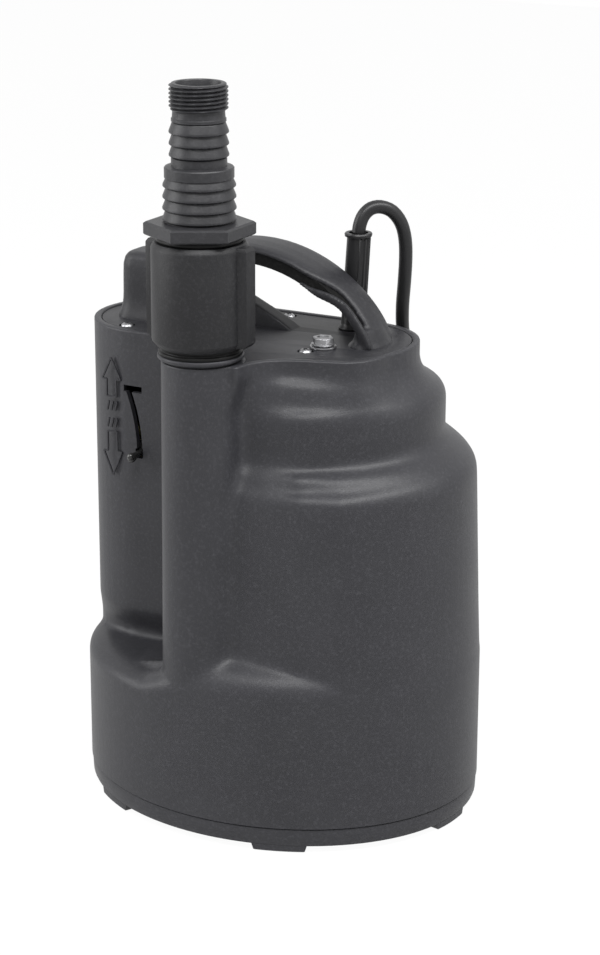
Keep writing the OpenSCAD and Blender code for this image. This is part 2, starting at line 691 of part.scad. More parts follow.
// Side view of the handle: X and Z of its outline
function handle_outline() = concat(
    [[tower_left, cover_z - eps], [tower_left, tower_z - 6], [tower_left + 2, tower_z - 2],
        [tower_left + 6, tower_z], [tower_left + 30, tower_z + 7]],
    arc_xz(arch_reach, handle_h, 115, 0),
    [[arch_x + arch_reach - strap_t, cover_z - eps]],
    arc_xz(arch_reach - strap_t, handle_h - strap_t, 6, 112),
    [[tower_right + 4, tower_z - 8], [tower_right + 3, tower_z - 16], [tower_right + 8, cover_z + 8],
        [tower_right + 20, cover_z - eps]]);
function arc_xz(a, b, a0, a1) = [for (i = [0:20]) let (t = a0 + (a1 - a0) * i / 20)
    [arch_x + a * cos(t), cover_z + b * sin(t)]];
function tower_hollow() = [[tower_left + 3, ledge_z - cut], [tower_left + 3, tower_z - 8],
    [tower_left + 9, tower_z - 4], [tower_right - 1, tower_z - 4], [tower_right - 1, tower_z - 16],
    [tower_right + 10, ledge_z - cut]];

module cover_screws() color([0.8, 0.8, 0.81]) for (p = cover_screws_xy) at_xy(p) {
    rod(tapping_d - 0.6, cover_z, cover_z + 2);
    rod(tapping_core - 0.02, cover_z - 12, cover_z + eps);
}
module cap_bolt() color([0.82, 0.82, 0.83]) at_xy(bolt_xy) {
    hexagon(bolt_af, cover_z + 1.2, cover_z + 5.2);
    rod(bolt_d / 2 - run, cap_cup_z + 2, cover_z + 1.3);
}
module cap_bolt_washer() color([0.78, 0.78, 0.79]) at_xy(bolt_xy)
    ring(6.5, bolt_d / 2 + 0.2, cover_z, cover_z + 1.2);
module cable_sleeve() color([0.1, 0.1, 0.1]) translate([gland_xy[0], gland_xy[1], cover_z])
    rotate([0, sleeve_tilt, 0]) difference() {
        union() {
            translate([0, 0, -cover_t]) cylinder(r = sleeve_r, h = sleeve_top_z - cover_z + cover_t - gap);
            translate([0, 0, gap]) cylinder(r = sleeve_r + 2.2, h = 4);
            translate([0, 0, sleeve_top_z - cover_z - 2.3]) cylinder(r = sleeve_r + 1, h = 2);
        }
        translate([0, 0, -cover_t - cut]) cylinder(r = cable_d / 2 + run, h = 60);
    }

module outlet_seal() color([0.06, 0.06, 0.06]) on_tube()
    ring(18.6, stub_r + 0.2, coupling_z + run, coupling_z + 1.4);
module coupling() color([0.2, 0.2, 0.21]) {
    difference() {
        union() {
            on_tube() rod(coupling_r, coupling_z + 1.5, coupling_top_z);
            for (s = [-1, 1]) translate([tube_x + s * (coupling_rib_r + stub_r) / 2, tube_y, coupling_z + 3
                + (coupling_len - 4) / 2])
                cube([coupling_rib_r - stub_r, 8, coupling_len - 4], center = true);
        }
        on_tube() {
            rod(stub_r + 0.1, coupling_z, coupling_z + 18);
            rod(flap_r - 3, coupling_z, coupling_top_z);
            rod(stub_r + 0.1, flap_seat_z - 0.1, coupling_top_z + cut);
        }
    }
    difference() {
        intersection() {
            for (s = [-1, 1])
                translate([tube_x - flap_pin_x - 1.9, tube_y + s * 8 - 2, flap_seat_z - 0.1 - eps])
                cube([3.5, 4, 3.6]);
            on_tube() rod(stub_r + 0.2, coupling_z, coupling_top_z);
        }
        at_flap_pin() cylinder(r = flap_pin_r + run, h = 30, center = true);
    }
}
// Non-return flap that lies on the coupling's inner seat
module check_flap() color([0.12, 0.12, 0.12]) {
    difference() {
        on_tube() rod(flap_r, flap_seat_z, flap_seat_z + 2.4);
        translate([tube_x - 11 - flap_r, tube_y - flap_r, flap_seat_z - cut]) cube([flap_r, 2 * flap_r, 5]);
    }
    for (s = [-1, 1]) at_flap_pin() translate([0, 0, 4 * s]) difference() {
        union() {
            cylinder(r = 1.6, h = 3, center = true);
            translate([0, -1.6, -1.5]) cube([4, 2, 3]);
        }
        cylinder(r = flap_pin_r + run, h = 6, center = true);
    }
}
module at_flap_pin() {
    translate([tube_x - flap_pin_x, tube_y, flap_seat_z + 1.6]) rotate([90, 0, 0]) children();
}
module flap_pin() color([0.78, 0.79, 0.8]) at_flap_pin()
    cylinder(r = flap_pin_r, h = 16.4, center = true);
module adapter_seal() color([0.06, 0.06, 0.06]) on_tube()
    ring(20, stub_r + 0.2, coupling_top_z + run, hex_z - run);

module hose_adapter() color([0.24, 0.24, 0.25]) on_tube() difference() {
    union() {
        rotate([0, 0, 30]) hexagon(hex_af, hex_z, barbs_z);
        rod(stub_r, coupling_top_z - 9, hex_z + eps);
        rotate_extrude() polygon(adapter_profile());
    }
    rod(adapter_bore, coupling_top_z - 10, adapter_top_z + cut);
}
// Half section of the two runs of barbs, the collar between them and the threaded tip
function barb_run(r, z, n) = [for (i = [0:n - 1]) each [[r, z + i * barb_pitch],
    [r, z + i * barb_pitch + 1], [r - barb_depth, z + (i + 1) * barb_pitch]]];
function adapter_profile() = concat([[8, barbs_z - eps]],
    barb_run(barb_big_r, barbs_z, 1), barb_run(barb_big_r, barbs_z + barb_pitch, 3),
    [[barb_big_r - barb_depth, barbs_z + 24.6], [barb_small_r, barbs_z + 24.8]],
    barb_run(barb_small_r, barbs_z + 28.6, 3),
    [[barb_small_r - barb_depth, barbs_z + 45.6], [tip_r - 1.3, barbs_z + 45.8], [tip_r - 1.3, tip_z],
        [tip_r, tip_z], [tip_r, adapter_top_z], [8, adapter_top_z]]);

module cable() color([0.1, 0.1, 0.1]) sweep(cable_pts, cable_d / 2, 10);
module cable_coil() color([0.1, 0.1, 0.1]) translate([coil_x, coil_y, 0])
    ring(coil_in + coil_w, coil_in, 0, coil_h);
module cable_tail() color([0.1, 0.1, 0.1]) sweep(tail_pts, cable_d / 2, 10);
// Earthed mains plug, lying on its side inside the coil
module plug_body() color([0.1, 0.1, 0.1]) translate([plug_x, plug_y, plug_r]) rotate([0, 90, 0])
difference() {
    union() {
        cylinder(r = plug_r, h = plug_len - 14);
        translate([0, 0, plug_len - 14 - eps]) cylinder(r1 = plug_r, r2 = 7, h = 8);
        cylinder(r = 5.5, h = plug_len);
    }
    translate([0, 0, -cut]) cylinder(r = 2, h = 4);
}
module plug_pins() color([0.8, 0.78, 0.7]) for (s = [-1, 1])
    translate([plug_x, plug_y + s * plug_pitch / 2, plug_r]) rotate([0, -90, 0])
        cylinder(r = plug_pin_r, h = plug_pin_len);

base_plate();
base_screws();
housing();
pump_chamber_floor();
pump_chamber();
chamber_seal();
impeller();
impeller_nut();
shaft();
shaft_seal_ring();
shaft_seal_spring();
shaft_seal_seat();
oil_chamber();
lower_bracket();
lower_bearing_outer();
lower_bearing_inner();
lower_bearing_balls();
rotor_core();
rotor_end_rings();
stator_core();
stator_windings();
motor_can();
upper_bracket();
upper_bearing_outer();
upper_bearing_inner();
upper_bearing_balls();
motor_cap();
motor_cap_seal();
capacitor();
float();
float_magnet();
float_rod();
reed_switch();
selector();
top_cover();
cover_screws();
cap_bolt();
cap_bolt_washer();
cable_sleeve();
outlet_seal();
coupling();
check_flap();
flap_pin();
adapter_seal();
hose_adapter();
cable();
cable_coil();
cable_tail();
plug_body();
plug_pins();
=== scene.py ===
import json
import math

import bmesh
import bpy
from mathutils import Matrix, Vector


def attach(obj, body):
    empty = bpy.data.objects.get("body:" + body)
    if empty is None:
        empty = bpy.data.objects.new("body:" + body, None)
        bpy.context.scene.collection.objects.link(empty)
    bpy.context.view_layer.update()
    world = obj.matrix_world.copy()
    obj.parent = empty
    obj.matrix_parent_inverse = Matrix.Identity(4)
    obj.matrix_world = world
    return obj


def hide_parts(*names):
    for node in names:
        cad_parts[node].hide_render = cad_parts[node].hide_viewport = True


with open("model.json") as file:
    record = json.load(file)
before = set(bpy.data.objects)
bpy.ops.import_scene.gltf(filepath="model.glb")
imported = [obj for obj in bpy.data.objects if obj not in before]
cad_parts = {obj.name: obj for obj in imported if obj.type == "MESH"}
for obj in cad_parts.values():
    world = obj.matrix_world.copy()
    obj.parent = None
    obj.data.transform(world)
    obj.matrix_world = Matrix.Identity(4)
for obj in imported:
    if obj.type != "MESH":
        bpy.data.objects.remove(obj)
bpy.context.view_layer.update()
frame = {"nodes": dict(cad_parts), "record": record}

bl_info = {
    "name": "Submersible clean water pump",
    "version": (1, 0, 0),
    "blender": (4, 5, 0),
    "location": "3D View > Sidebar > Pump",
    "description": "Builds the housing, handle, outlet, adapter, cable and finishes of a submersible pump",
    "category": "Object",
}

MM = 0.001


# Sizes and colours that a user would change


def millimetres(name, description, default):
    return bpy.props.FloatProperty(name=name, description=description + " in mm", default=default)


def tint(name, description, default):
    return bpy.props.FloatVectorProperty(
        name=name, description=description, subtype="COLOR", size=3, default=default)


class PumpSizes(bpy.types.PropertyGroup):
    base_len: millimetres("Base length", "Length of the oval base", 198.4)
    base_wid: millimetres("Base width", "Width of the oval base", 169.8)
    seam_z: millimetres("Seam height", "Height of the seam over the base plate", 12.2)
    wall: millimetres("Wall", "Wall thickness of the housing", 3.2)
    motor_x: millimetres("Motor axis", "X of the motor axis", 13.0)
    tier_r: millimetres("Tier radius", "Radius of the upper tier", 66.0)
    rim_z: millimetres("Rim height", "Height of the rim round the cover", 230.5)
    rim_r: millimetres("Rim end radius", "Radius of the rim's round ends", 37.0)
    tube_x: millimetres("Outlet X", "X of the outlet's axis", -7.0)
    tube_y: millimetres("Outlet Y", "Y of the outlet's axis", -65.0)
    cable_d: millimetres("Cable diameter", "Diameter of the mains cable", 6.5)


class PumpColours(bpy.types.PropertyGroup):
    # The cover's darker charcoal is painted shade, not a plastic of its own
    body: tint("Housing", "Charcoal of the housing and, darker, of the cover", (0.0165, 0.0165, 0.019))
    # The coupling's darker charcoal is partly its own tone, partly painted shade
    fitting: tint("Fittings", "Charcoal of the adapter and, darker, of the coupling", (0.014, 0.014, 0.0155))
    rubber: tint("Rubber", "Black of the cable, the plug and the sleeve", (0.009, 0.009, 0.0095))


def sizes():
    return bpy.context.scene.pump_sizes


def colours():
    return bpy.context.scene.pump_colours


# Shader maths on sockets


class Sock:
    """An output socket or a number, with the operators that add Math nodes."""

    def __init__(self, finish, value):
        self.finish = finish
        self.value = value

    def _math(self, operation, *others):
        node = self.finish.tree.nodes.new("ShaderNodeMath")
        node.operation = operation
        for slot, item in enumerate((self,) + others):
            self.finish.feed(node.inputs[slot], item)
        return Sock(self.finish, node.outputs[0])

    def __add__(self, other):
        return self._math("ADD", other)

    __radd__ = __add__

    def __mul__(self, other):
        return self._math("MULTIPLY", other)

    def __sub__(self, other):
        return self._math("SUBTRACT", other)

    def clamped(self):
        return self._math("MAXIMUM", 0.0)._math("MINIMUM", 1.0)


class Finish:
    """A material with its principled shader and helpers that add nodes."""

    def __init__(self, name):
        self.material = bpy.data.materials.new(name)
        self.material.use_nodes = True
        self.tree = self.material.node_tree
        self.shader = self.tree.nodes["Principled BSDF"]
        self.place = self.add("ShaderNodeTexCoord").value.node.outputs["Object"]

    def feed(self, socket, item):
        value = item.value if isinstance(item, Sock) else item
        if isinstance(value, bpy.types.NodeSocket):
            self.tree.links.new(value, socket)
        elif isinstance(value, tuple) and socket.type == "RGBA":
            socket.default_value = value + (1.0,)
        else:
            socket.default_value = value

    def add(self, kind, settings=None, inputs=None, output=0):
        node = self.tree.nodes.new(kind)
        for key, value in (settings or {}).items():
            setattr(node, key, value)
        for key, value in (inputs or {}).items():
            self.feed(node.inputs[key], value)
        return Sock(self, node.outputs[output])

    def noise(self, scale, detail, roughness=0.5):
        return self.add("ShaderNodeTexNoise", inputs={
            "Vector": self.place, "Scale": scale, "Detail": detail, "Roughness": roughness})

    def mix(self, factor, first, second):
        node = self.tree.nodes.new("ShaderNodeMix")
        node.data_type = "RGBA"
        self.feed(node.inputs["Factor"], factor)
        self.feed(node.inputs[6], first)
        self.feed(node.inputs[7], second)
        return Sock(self, node.outputs[2])

    def bump(self, height, strength, distance, normal=None):
        inputs = {"Height": height, "Strength": strength, "Distance": distance}
        if normal is not None:
            inputs["Normal"] = normal
        return self.add("ShaderNodeBump", inputs=inputs)

    def set(self, **inputs):
        for key, value in inputs.items():
            self.feed(self.shader.inputs[key.replace("_", " ")], value)
        return self.material


# Finishes, one function each


def shade(colour, share):
    """The same colour, darker by a share."""
    return tuple(part * share for part in colour)


def charcoal_plastic(name, colour, grain=0.35, rough=0.4, sheen=0.23):
    """Moulded plastic with a fine spark grain, slight mottling and faint wear."""
    f = Finish(name)
    mottle = f.noise(38.0, 4.0, 0.6)
    dust = (f.noise(650.0, 2.0, 0.6) * 3.4 - 1.7).clamped()
    dark = shade(colour, 0.88)
    pale = tuple(min(1.0, 1.16 * c + 0.002) for c in colour)
    skin = f.mix(mottle, dark, pale)
    worn = tuple(min(1.0, 1.9 * c + 0.008) for c in colour)
    fine = f.noise(1500.0, 2.0, 0.6)
    coarse = f.noise(260.0, 2.0, 0.5)
    normal = f.bump(coarse, 0.1, 0.0004, f.bump(fine, grain, 0.00025))
    f.shader.inputs["Specular IOR Level"].default_value = sheen
    return f.set(Base_Color=f.mix(dust * 0.5, skin, worn),
                 Roughness=rough + mottle * 0.1 - 0.05 + fine * 0.08, Normal=normal)


def soft_rubber(name, colour, rough, grain, sheen):
    """Rubber with a soft sheen and a slight bloom."""
    f = Finish(name)
    bloom = f.noise(70.0, 4.0, 0.65)
    pale = tuple(1.5 * c + 0.001 for c in colour)
    f.shader.inputs["Specular IOR Level"].default_value = sheen
    normal = f.bump(f.noise(900.0, 2.0), grain, 0.0002)
    return f.set(Base_Color=f.mix(bloom * 0.6, colour, pale), Roughness=rough + bloom * 0.15 - 0.07,
                 Normal=normal)


def turned_metal(name, colour, rough, lines=900.0, bump=0.12):
    """Machined or plated metal with fine turning lines and small stains."""
    f = Finish(name)
    stain = f.noise(120.0, 4.0, 0.6)
    stretch = f.add("ShaderNodeMapping", inputs={"Vector": f.place, "Scale": (6.0, 6.0, lines)})
    groove = f.add("ShaderNodeTexNoise", inputs={"Vector": stretch, "Scale": 1.0, "Detail": 2.0})
    dark = shade(colour, 0.72)
    return f.set(Base_Color=f.mix(stain, dark, colour), Metallic=1.0,
                 Roughness=rough + groove * 0.14 + stain * 0.08 - 0.06, Normal=f.bump(groove, bump, 0.0001))


def cast_metal(name, colour):
    """Die cast aluminium with a dull, slightly pitted skin."""
    f = Finish(name)
    cloud = f.noise(60.0, 4.0, 0.6)
    pits = f.noise(700.0, 3.0, 0.6)
    return f.set(Base_Color=f.mix(cloud, shade(colour, 0.8), colour), Metallic=0.9,
                 Roughness=0.42 + cloud * 0.16, Normal=f.bump(pits, 0.3, 0.0003))


def laminated_steel(name, colour):
    """Stack of thin steel sheets, seen as fine level lines."""
    f = Finish(name)
    wave = f.add("ShaderNodeTexWave", {"bands_direction": "Z", "wave_profile": "SAW"},
                 {"Vector": f.place, "Scale": 320.0, "Distortion": 0.2}, output=1)
    rust = f.noise(90.0, 4.0, 0.65)
    return f.set(Base_Color=f.mix(rust * 0.35, colour, (0.16, 0.1, 0.07)), Metallic=0.85,
                 Roughness=0.38 + wave * 0.14, Normal=f.bump(wave, 0.4, 0.0002))


def wound_copper(name, colour):
    """Enamelled copper wire wound side by side, with painted shade that darkens the grooves between the
    wires.
    """
    f = Finish(name)
    wave = f.add("ShaderNodeTexWave", {"bands_direction": "Z", "wave_profile": "SIN"},
                 {"Vector": f.place, "Scale": 190.0, "Distortion": 1.5, "Detail": 1.0, "Detail Scale": 8.0},
                 output=1)
    # Colour drops to 0.45 in the grooves of the wave: painted shade between the wires
    return f.set(Base_Color=f.mix(wave, shade(colour, 0.45), colour), Metallic=0.6,
                 Roughness=0.3 + wave * 0.1, Normal=f.bump(wave, 0.8, 0.0005))


def foam(name, colour):
    """Closed foam of the float with small cells."""
    f = Finish(name)
    cells = f.add("ShaderNodeTexVoronoi", inputs={"Vector": f.place, "Scale": 900.0})
    return f.set(Base_Color=f.mix(cells, shade(colour, 0.85), colour),
                 Roughness=0.75 + cells * 0.1, Normal=f.bump(cells, 0.35, 0.0003))


def fired_ceramic(name, colour, rough):
    """Fine dense ceramic, carbon or ferrite."""
    f = Finish(name)
    speck = f.noise(800.0, 2.0, 0.5)
    return f.set(Base_Color=f.mix(speck * 0.4, colour, shade(colour, 0.8)),
                 Roughness=rough + speck * 0.1, Normal=f.bump(speck, 0.1, 0.0001))


FINISHES = {}


def make_finishes():
    c = colours()
    FINISHES.update({
        "body_plastic": charcoal_plastic("charcoal_housing", tuple(c.body)),
        "fitting_plastic": charcoal_plastic("charcoal_fittings", tuple(c.fitting), 0.3, 0.36),
        # Cover: the housing charcoal darkened to 0.72, painted shade that tones down the light the cover
        # catches
        "cover_painted_shade_plastic": charcoal_plastic("charcoal_cover_painted_shade", shade(c.body, 0.72), sheen=0.2),
        # Coupling: the fitting charcoal darkened to 0.6, partly its own darker tone, partly painted shade
        # where the left softbox lights it
        "coupling_tone_and_shade_plastic": charcoal_plastic("charcoal_coupling_tone_and_shade", shade(c.fitting, 0.6), rough=0.44,
                                             sheen=0.19),
        # Handle core: near-black, painted shade of the channel under the strap
        "shadow_plastic": charcoal_plastic("handle_painted_shade_core", (0.004, 0.004, 0.004), 0.2, 0.6, 0.06),
        "black_plastic": charcoal_plastic("glossy_black", (0.012, 0.012, 0.012), 0.05, 0.22, 0.4),
        "inner_plastic": charcoal_plastic("inner_charcoal", (0.035, 0.035, 0.037), 0.3, 0.55),
        "impeller_plastic": charcoal_plastic("impeller_ivory", (0.55, 0.45, 0.28), 0.2, 0.42),
        "capacitor_case": charcoal_plastic("capacitor_white", (0.68, 0.69, 0.7), 0.15, 0.4),
        "seal_rubber": soft_rubber("seal_black", (0.004, 0.004, 0.004), 0.4, 0.1, 0.12),
        "cable_rubber": soft_rubber("cable_black", tuple(c.rubber), 0.38, 0.15, 0.22),
        "plated_brass": turned_metal("plated_pins", (0.8, 0.78, 0.72), 0.18),
        "brass_nut": turned_metal("brass", (0.78, 0.56, 0.24), 0.25),
        "shaft_steel": turned_metal("ground_steel", (0.66, 0.67, 0.69), 0.18),
        "bearing_steel": turned_metal("bearing_steel", (0.7, 0.71, 0.73), 0.12),
        "can_steel": turned_metal("can_steel", (0.6, 0.61, 0.62), 0.35, 300.0, 0.06),
        "screw_steel": turned_metal("zinc_plated", (0.32, 0.32, 0.33), 0.3, 300.0, 0.08),
        "cast_aluminium": cast_metal("cast_aluminium", (0.62, 0.63, 0.65)),
        "core_steel": laminated_steel("core_sheets", (0.36, 0.37, 0.39)),
        "copper_wire": wound_copper("winding_wire", (0.72, 0.28, 0.1)),
        "float_foam": foam("float_foam", (0.78, 0.68, 0.22)),
        "seal_carbon": fired_ceramic("seal_carbon", (0.03, 0.03, 0.032), 0.35),
        "seal_ceramic": fired_ceramic("seal_ceramic", (0.8, 0.79, 0.75), 0.15),
        "magnet_ferrite": fired_ceramic("ferrite", (0.06, 0.06, 0.065), 0.5),
    })


# Modelling helpers


def clear():
    """Leaves nothing selected and nothing active."""
    for item in bpy.context.selected_objects:
        item.select_set(False)
    bpy.context.view_layer.objects.active = None


def pick(piece):
    clear()
    piece.select_set(True)
    bpy.context.view_layer.objects.active = piece


def key_of(point):
    """Whole micrometres of a point, to find it again."""
    return tuple(round(1e6 * c) for c in point)


def mixed(a, b, t):
    return a + (b - a) * t


def eased(value):
    """0 to 1 with a soft start and end."""
    t = max(0.0, min(1.0, value))
    return t * t * (3.0 - 2.0 * t)


def loft(name, rings, caps=True):
    """Extrudes a circle ring by ring. Each ring is a list of points in mm, and all have the same count.

    With caps the ends are closed, and without them the last ring is joined to the first."""
    clear()
    if not caps:
        rings = rings + [rings[0]]
    bpy.ops.mesh.primitive_circle_add(
        vertices=len(rings[0]), radius=0.01, fill_type="NGON" if caps else "NOTHING")
    piece = bpy.context.object
    piece.name = name
    piece.data.name = name
    bpy.ops.object.mode_set(mode="EDIT")
    mesh = bmesh.from_edit_mesh(piece.data)
    place = {}
    for i, vert in enumerate(mesh.verts):
        vert.co = Vector(rings[0][i]) * MM
        place[key_of(vert.co)] = i
    bmesh.update_edit_mesh(piece.data)
    bpy.ops.mesh.select_all(action="SELECT")
    for ring in rings[1:]:
        bpy.ops.mesh.extrude_region_move(TRANSFORM_OT_translate={"value": (0.0, 0.0, 0.0)})
        mesh = bmesh.from_edit_mesh(piece.data)
        fresh = [(v, place[key_of(v.co)]) for v in mesh.verts if v.select]
        place = {}
        for vert, i in fresh:
            vert.co = Vector(ring[i]) * MM
            place[key_of(vert.co)] = i
        bmesh.update_edit_mesh(piece.data)
    bpy.ops.mesh.select_all(action="SELECT")
    if not caps:
        bpy.ops.mesh.remove_doubles(threshold=1e-6)
    bpy.ops.mesh.normals_make_consistent(inside=False)
    bpy.ops.object.mode_set(mode="OBJECT")
    return piece


def round_angles(count):
    return [2 * math.pi * k / count for k in range(count)]


def circle(cx, cy, z, r, count, turn=0.0):
    return [(cx + r * math.cos(turn + a), cy + r * math.sin(turn + a), z) for a in round_angles(count)]


def circle_across_x(x, y, z, r, count):
    return [(x, y + r * math.cos(a), z + r * math.sin(a)) for a in round_angles(count)]


def circle_across_y(x, y, z, r, count):
    return [(x + r * math.cos(a), y, z + r * math.sin(a)) for a in round_angles(count)]


def turned(name, profile, cx, cy, count, bored=False):
    """A solid of revolution about a vertical axis from (radius, height) pairs in mm."""
    rings = [circle(cx, cy, z, r, count) for r, z in profile]
    return loft(name, rings, not bored)


def around_tube(name, profile, count=96, bored=False):
    """A solid of revolution about the discharge tube."""
    s = sizes()
    return turned(name, profile, s.tube_x, s.tube_y, count, bored)


def modify(piece, kind, **settings):
    """Adds one modifier and applies it."""
    pick(piece)
    modifier = piece.modifiers.new(kind.lower(), kind)
    for key, value in settings.items():
        setattr(modifier, key, value)
    bpy.ops.object.modifier_apply(modifier=modifier.name)
    return piece


def carve(piece, tool, operation="DIFFERENCE", solver="MANIFOLD"):
    """Boolean with a tool that is deleted afterwards."""
    before = len(piece.data.vertices)
    modify(piece, "BOOLEAN", object=tool, operation=operation, solver=solver)
    if len(piece.data.vertices) in (0, before):
        raise RuntimeError("The boolean of %s with %s did nothing" % (piece.name, tool.name))
    bpy.data.objects.remove(tool)
    return piece


def merge(pieces, name):
    """Joins pieces into the first one."""
    clear()
    for piece in pieces:
        piece.select_set(True)
    bpy.context.view_layer.objects.active = pieces[0]
    bpy.ops.object.join()
    pieces[0].name = name
    return pieces[0]


def settle(piece, slot, angle, body="pump", nodes=(), bevel=0.0, segments=2, finish=None):
    """Rounds the edges, shades, gives the finish, and ties the piece to its body and nodes."""
    if bevel:
        modify(piece, "BEVEL", width=bevel * MM, segments=segments, limit_method="ANGLE",
               angle_limit=math.radians(32.0), harden_normals=False)
    pick(piece)
    bpy.ops.object.transform_apply(location=True, rotation=True, scale=True)
    bpy.ops.object.shade_smooth_by_angle(angle=math.radians(angle))
    piece.data.materials.clear()
    piece.data.materials.append(FINISHES[finish or slot])
    if nodes:
        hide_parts(*nodes)
    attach(piece, body)
    return piece


# Outlines of the housing, as points in mm seen from above


RIM_LEFT = -62.5
RIM_RIGHT = 31.0

# The rim's sweep in front, as X from the outlet's axis and Y

EAR_EDGE = [(22.0, -75.0), (22.2, -68.0), (23.4, -61.5), (26.5, -55.5), (32.0, -50.2), (39.0, -46.6),
            (47.0, -43.8), (55.0, -41.2), (61.0, -38.6), (66.0, -34.4), (69.8, -26.5), (71.6, -17.0),
            (72.5, -9.0)]


def oval(inset):
    """Outline of the base."""
    s = sizes()
    return [((s.base_len / 2 - inset) * math.cos(a), (s.base_wid / 2 - inset) * math.sin(a))
            for a in round_angles(120)]


def stadium(inset):
    """Rim outline with its two round ends."""
    r = sizes().rim_r - inset
    ends = []
    for middle, first in ((RIM_RIGHT, -90), (RIM_LEFT, 90)):
        for i in range(25):
            a = math.radians(first + 180 * i / 24)
            ends.append((middle + r * math.cos(a), r * math.sin(a)))
    return ends


def smooth_line(points, steps):
    """Points on a smooth curve through the given ones, in two or three dimensions."""
    dims = range(len(points[0]))
    ends = [[2 * points[0][d] - points[1][d] for d in dims]] + [list(p) for p in points]
    ends.append([2 * points[-1][d] - points[-2][d] for d in dims])
    line = []
    for i in range(1, len(ends) - 2):
        a, b, c, e = ends[i - 1:i + 3]
        for k in range(steps):
            t = k / steps
            line.append(tuple(0.5 * (2 * b[d] + (c[d] - a[d]) * t
                                     + (2 * a[d] - 5 * b[d] + 4 * c[d] - e[d]) * t * t
                                     + (3 * b[d] - a[d] - 3 * c[d] + e[d]) * t ** 3) for d in dims))
    line.append(tuple(points[-1]))
    return line


def ear(inset):
    """Sweep of the rim and cover from their right end to the discharge tube."""
    s = sizes()
    edge = smooth_line([(s.tube_x + x, y) for x, y in EAR_EDGE], 4)
    inner = []
    for i in range(2, len(edge) - 2):
        t = Vector(edge[i + 1]) - Vector(edge[i - 1])
        t.normalize()
        inner.append((edge[i][0] - inset * t.y, edge[i][1] + inset * t.x))
    return [(s.tube_x, -s.rim_r / 2), (s.tube_x, s.tube_y)] + inner + [(RIM_RIGHT, 0.0)]


def undercut(depth):
    """Rim outline that steps back in front only, under the float panel."""
    line = []
    for (x, y), (u, v) in zip(stadium(0.0), stadium(depth)):
        share = max(0.0, -y / sizes().rim_r) ** 2
        line.append((mixed(x, u, share), mixed(y, v, share)))
    return line


def at_height(points, z):
    return [(x, y, z) for x, y in points]


def prism(name, outline, low, high):
    return loft(name, [at_height(outline, low), at_height(outline, high)])


def stack(name, outline, steps):
    """Lofts a kind of outline through steps of inset and height."""
    return loft(name, [at_height(outline(inset), z) for inset, z in steps])


def upright(name, outline, depths):
    """Lofts an outline of (x, z) points from Y to Y."""
    return loft(name, [[(x, y, z) for x, z in outline] for y in depths])


def reach(outline, cx, cy, angle):
    """Distance from a centre to the farthest side of an outline in one direction, or 0."""
    dx, dy = math.cos(angle), math.sin(angle)
    far = 0.0
    for (ax, ay), (bx, by) in zip(outline, outline[1:] + outline[:1]):
        ex, ey = bx - ax, by - ay
        det = dx * ey - dy * ex
        if abs(det) < 1e-9:
            continue
        t = ((ax - cx) * ey - (ay - cy) * ex) / det
        u = ((ax - cx) * dy - (ay - cy) * dx) / det
        if 0 <= u <= 1 and t > far:
            far = t
    return far


# Housing


LOWER_TOP = 60.0
SHOULDER_Z = 76.0
SHOULDER_IN = 13.0
DRUM_LOW = 70.0
RAW_TOP = 238.0
POCKET_Z = 225.5
RIM_WALL = 3.5
TUBE_BORE = 13.0
STUB_R = 16.6


def lower_drum(inset, drop):
    """Oval lower drum, whose rounded shoulder is higher round the motor than at the left."""
    rings = [at_height(oval(inset), 0.0), at_height(oval(inset), LOWER_TOP - drop)]
    for turn in (0.0, 15.0, 30.0, 45.0, 60.0, 75.0, 88.0):
        a = math.radians(turn)
        ring = []
        for x, y in oval(inset + SHOULDER_IN * (1 - math.cos(a))):
            side = min(1.0, max(0.0, (x + 34.0) / 30.0))
            rise = mixed(6.5, 13.5, side) * math.sin(a)
            ring.append((x, y, SHOULDER_Z - drop + rise - 8.0 * (1 - side)))
        rings.append(ring)
    return loft("lower_drum", rings)


def drum_outline(inset):
    """Plan of the main drum, flatter beside the tube and tied to the float chamber on the left."""
    s = sizes()
    web = s.tube_x - 17.0 + inset
    half = s.base_wid / 2
    line = [(web, -20.0), (web, s.tube_y + 5.0), (s.tube_x, -half + 14.9 + inset)]
    front = [(s.tube_x, 14.9), (14.0, 12.4), (27.0, 12.9), (45.0, 14.6)]
    line += smooth_line([(x, -half + back + inset) for x, back in front], 5)[1:]
    for i in range(43):
        a = math.radians(-48.0 + 3.6 * i)
        line.append(((s.base_len / 2 - inset) * math.cos(a), (half - inset) * math.sin(a)))
    return line + [(-29.0 + inset, 60.0), (-34.0 + inset, 40.0 - inset), (-34.0, 0.0)]


# Height in mm and share of the way inwards, first beside the motor and then in front of it

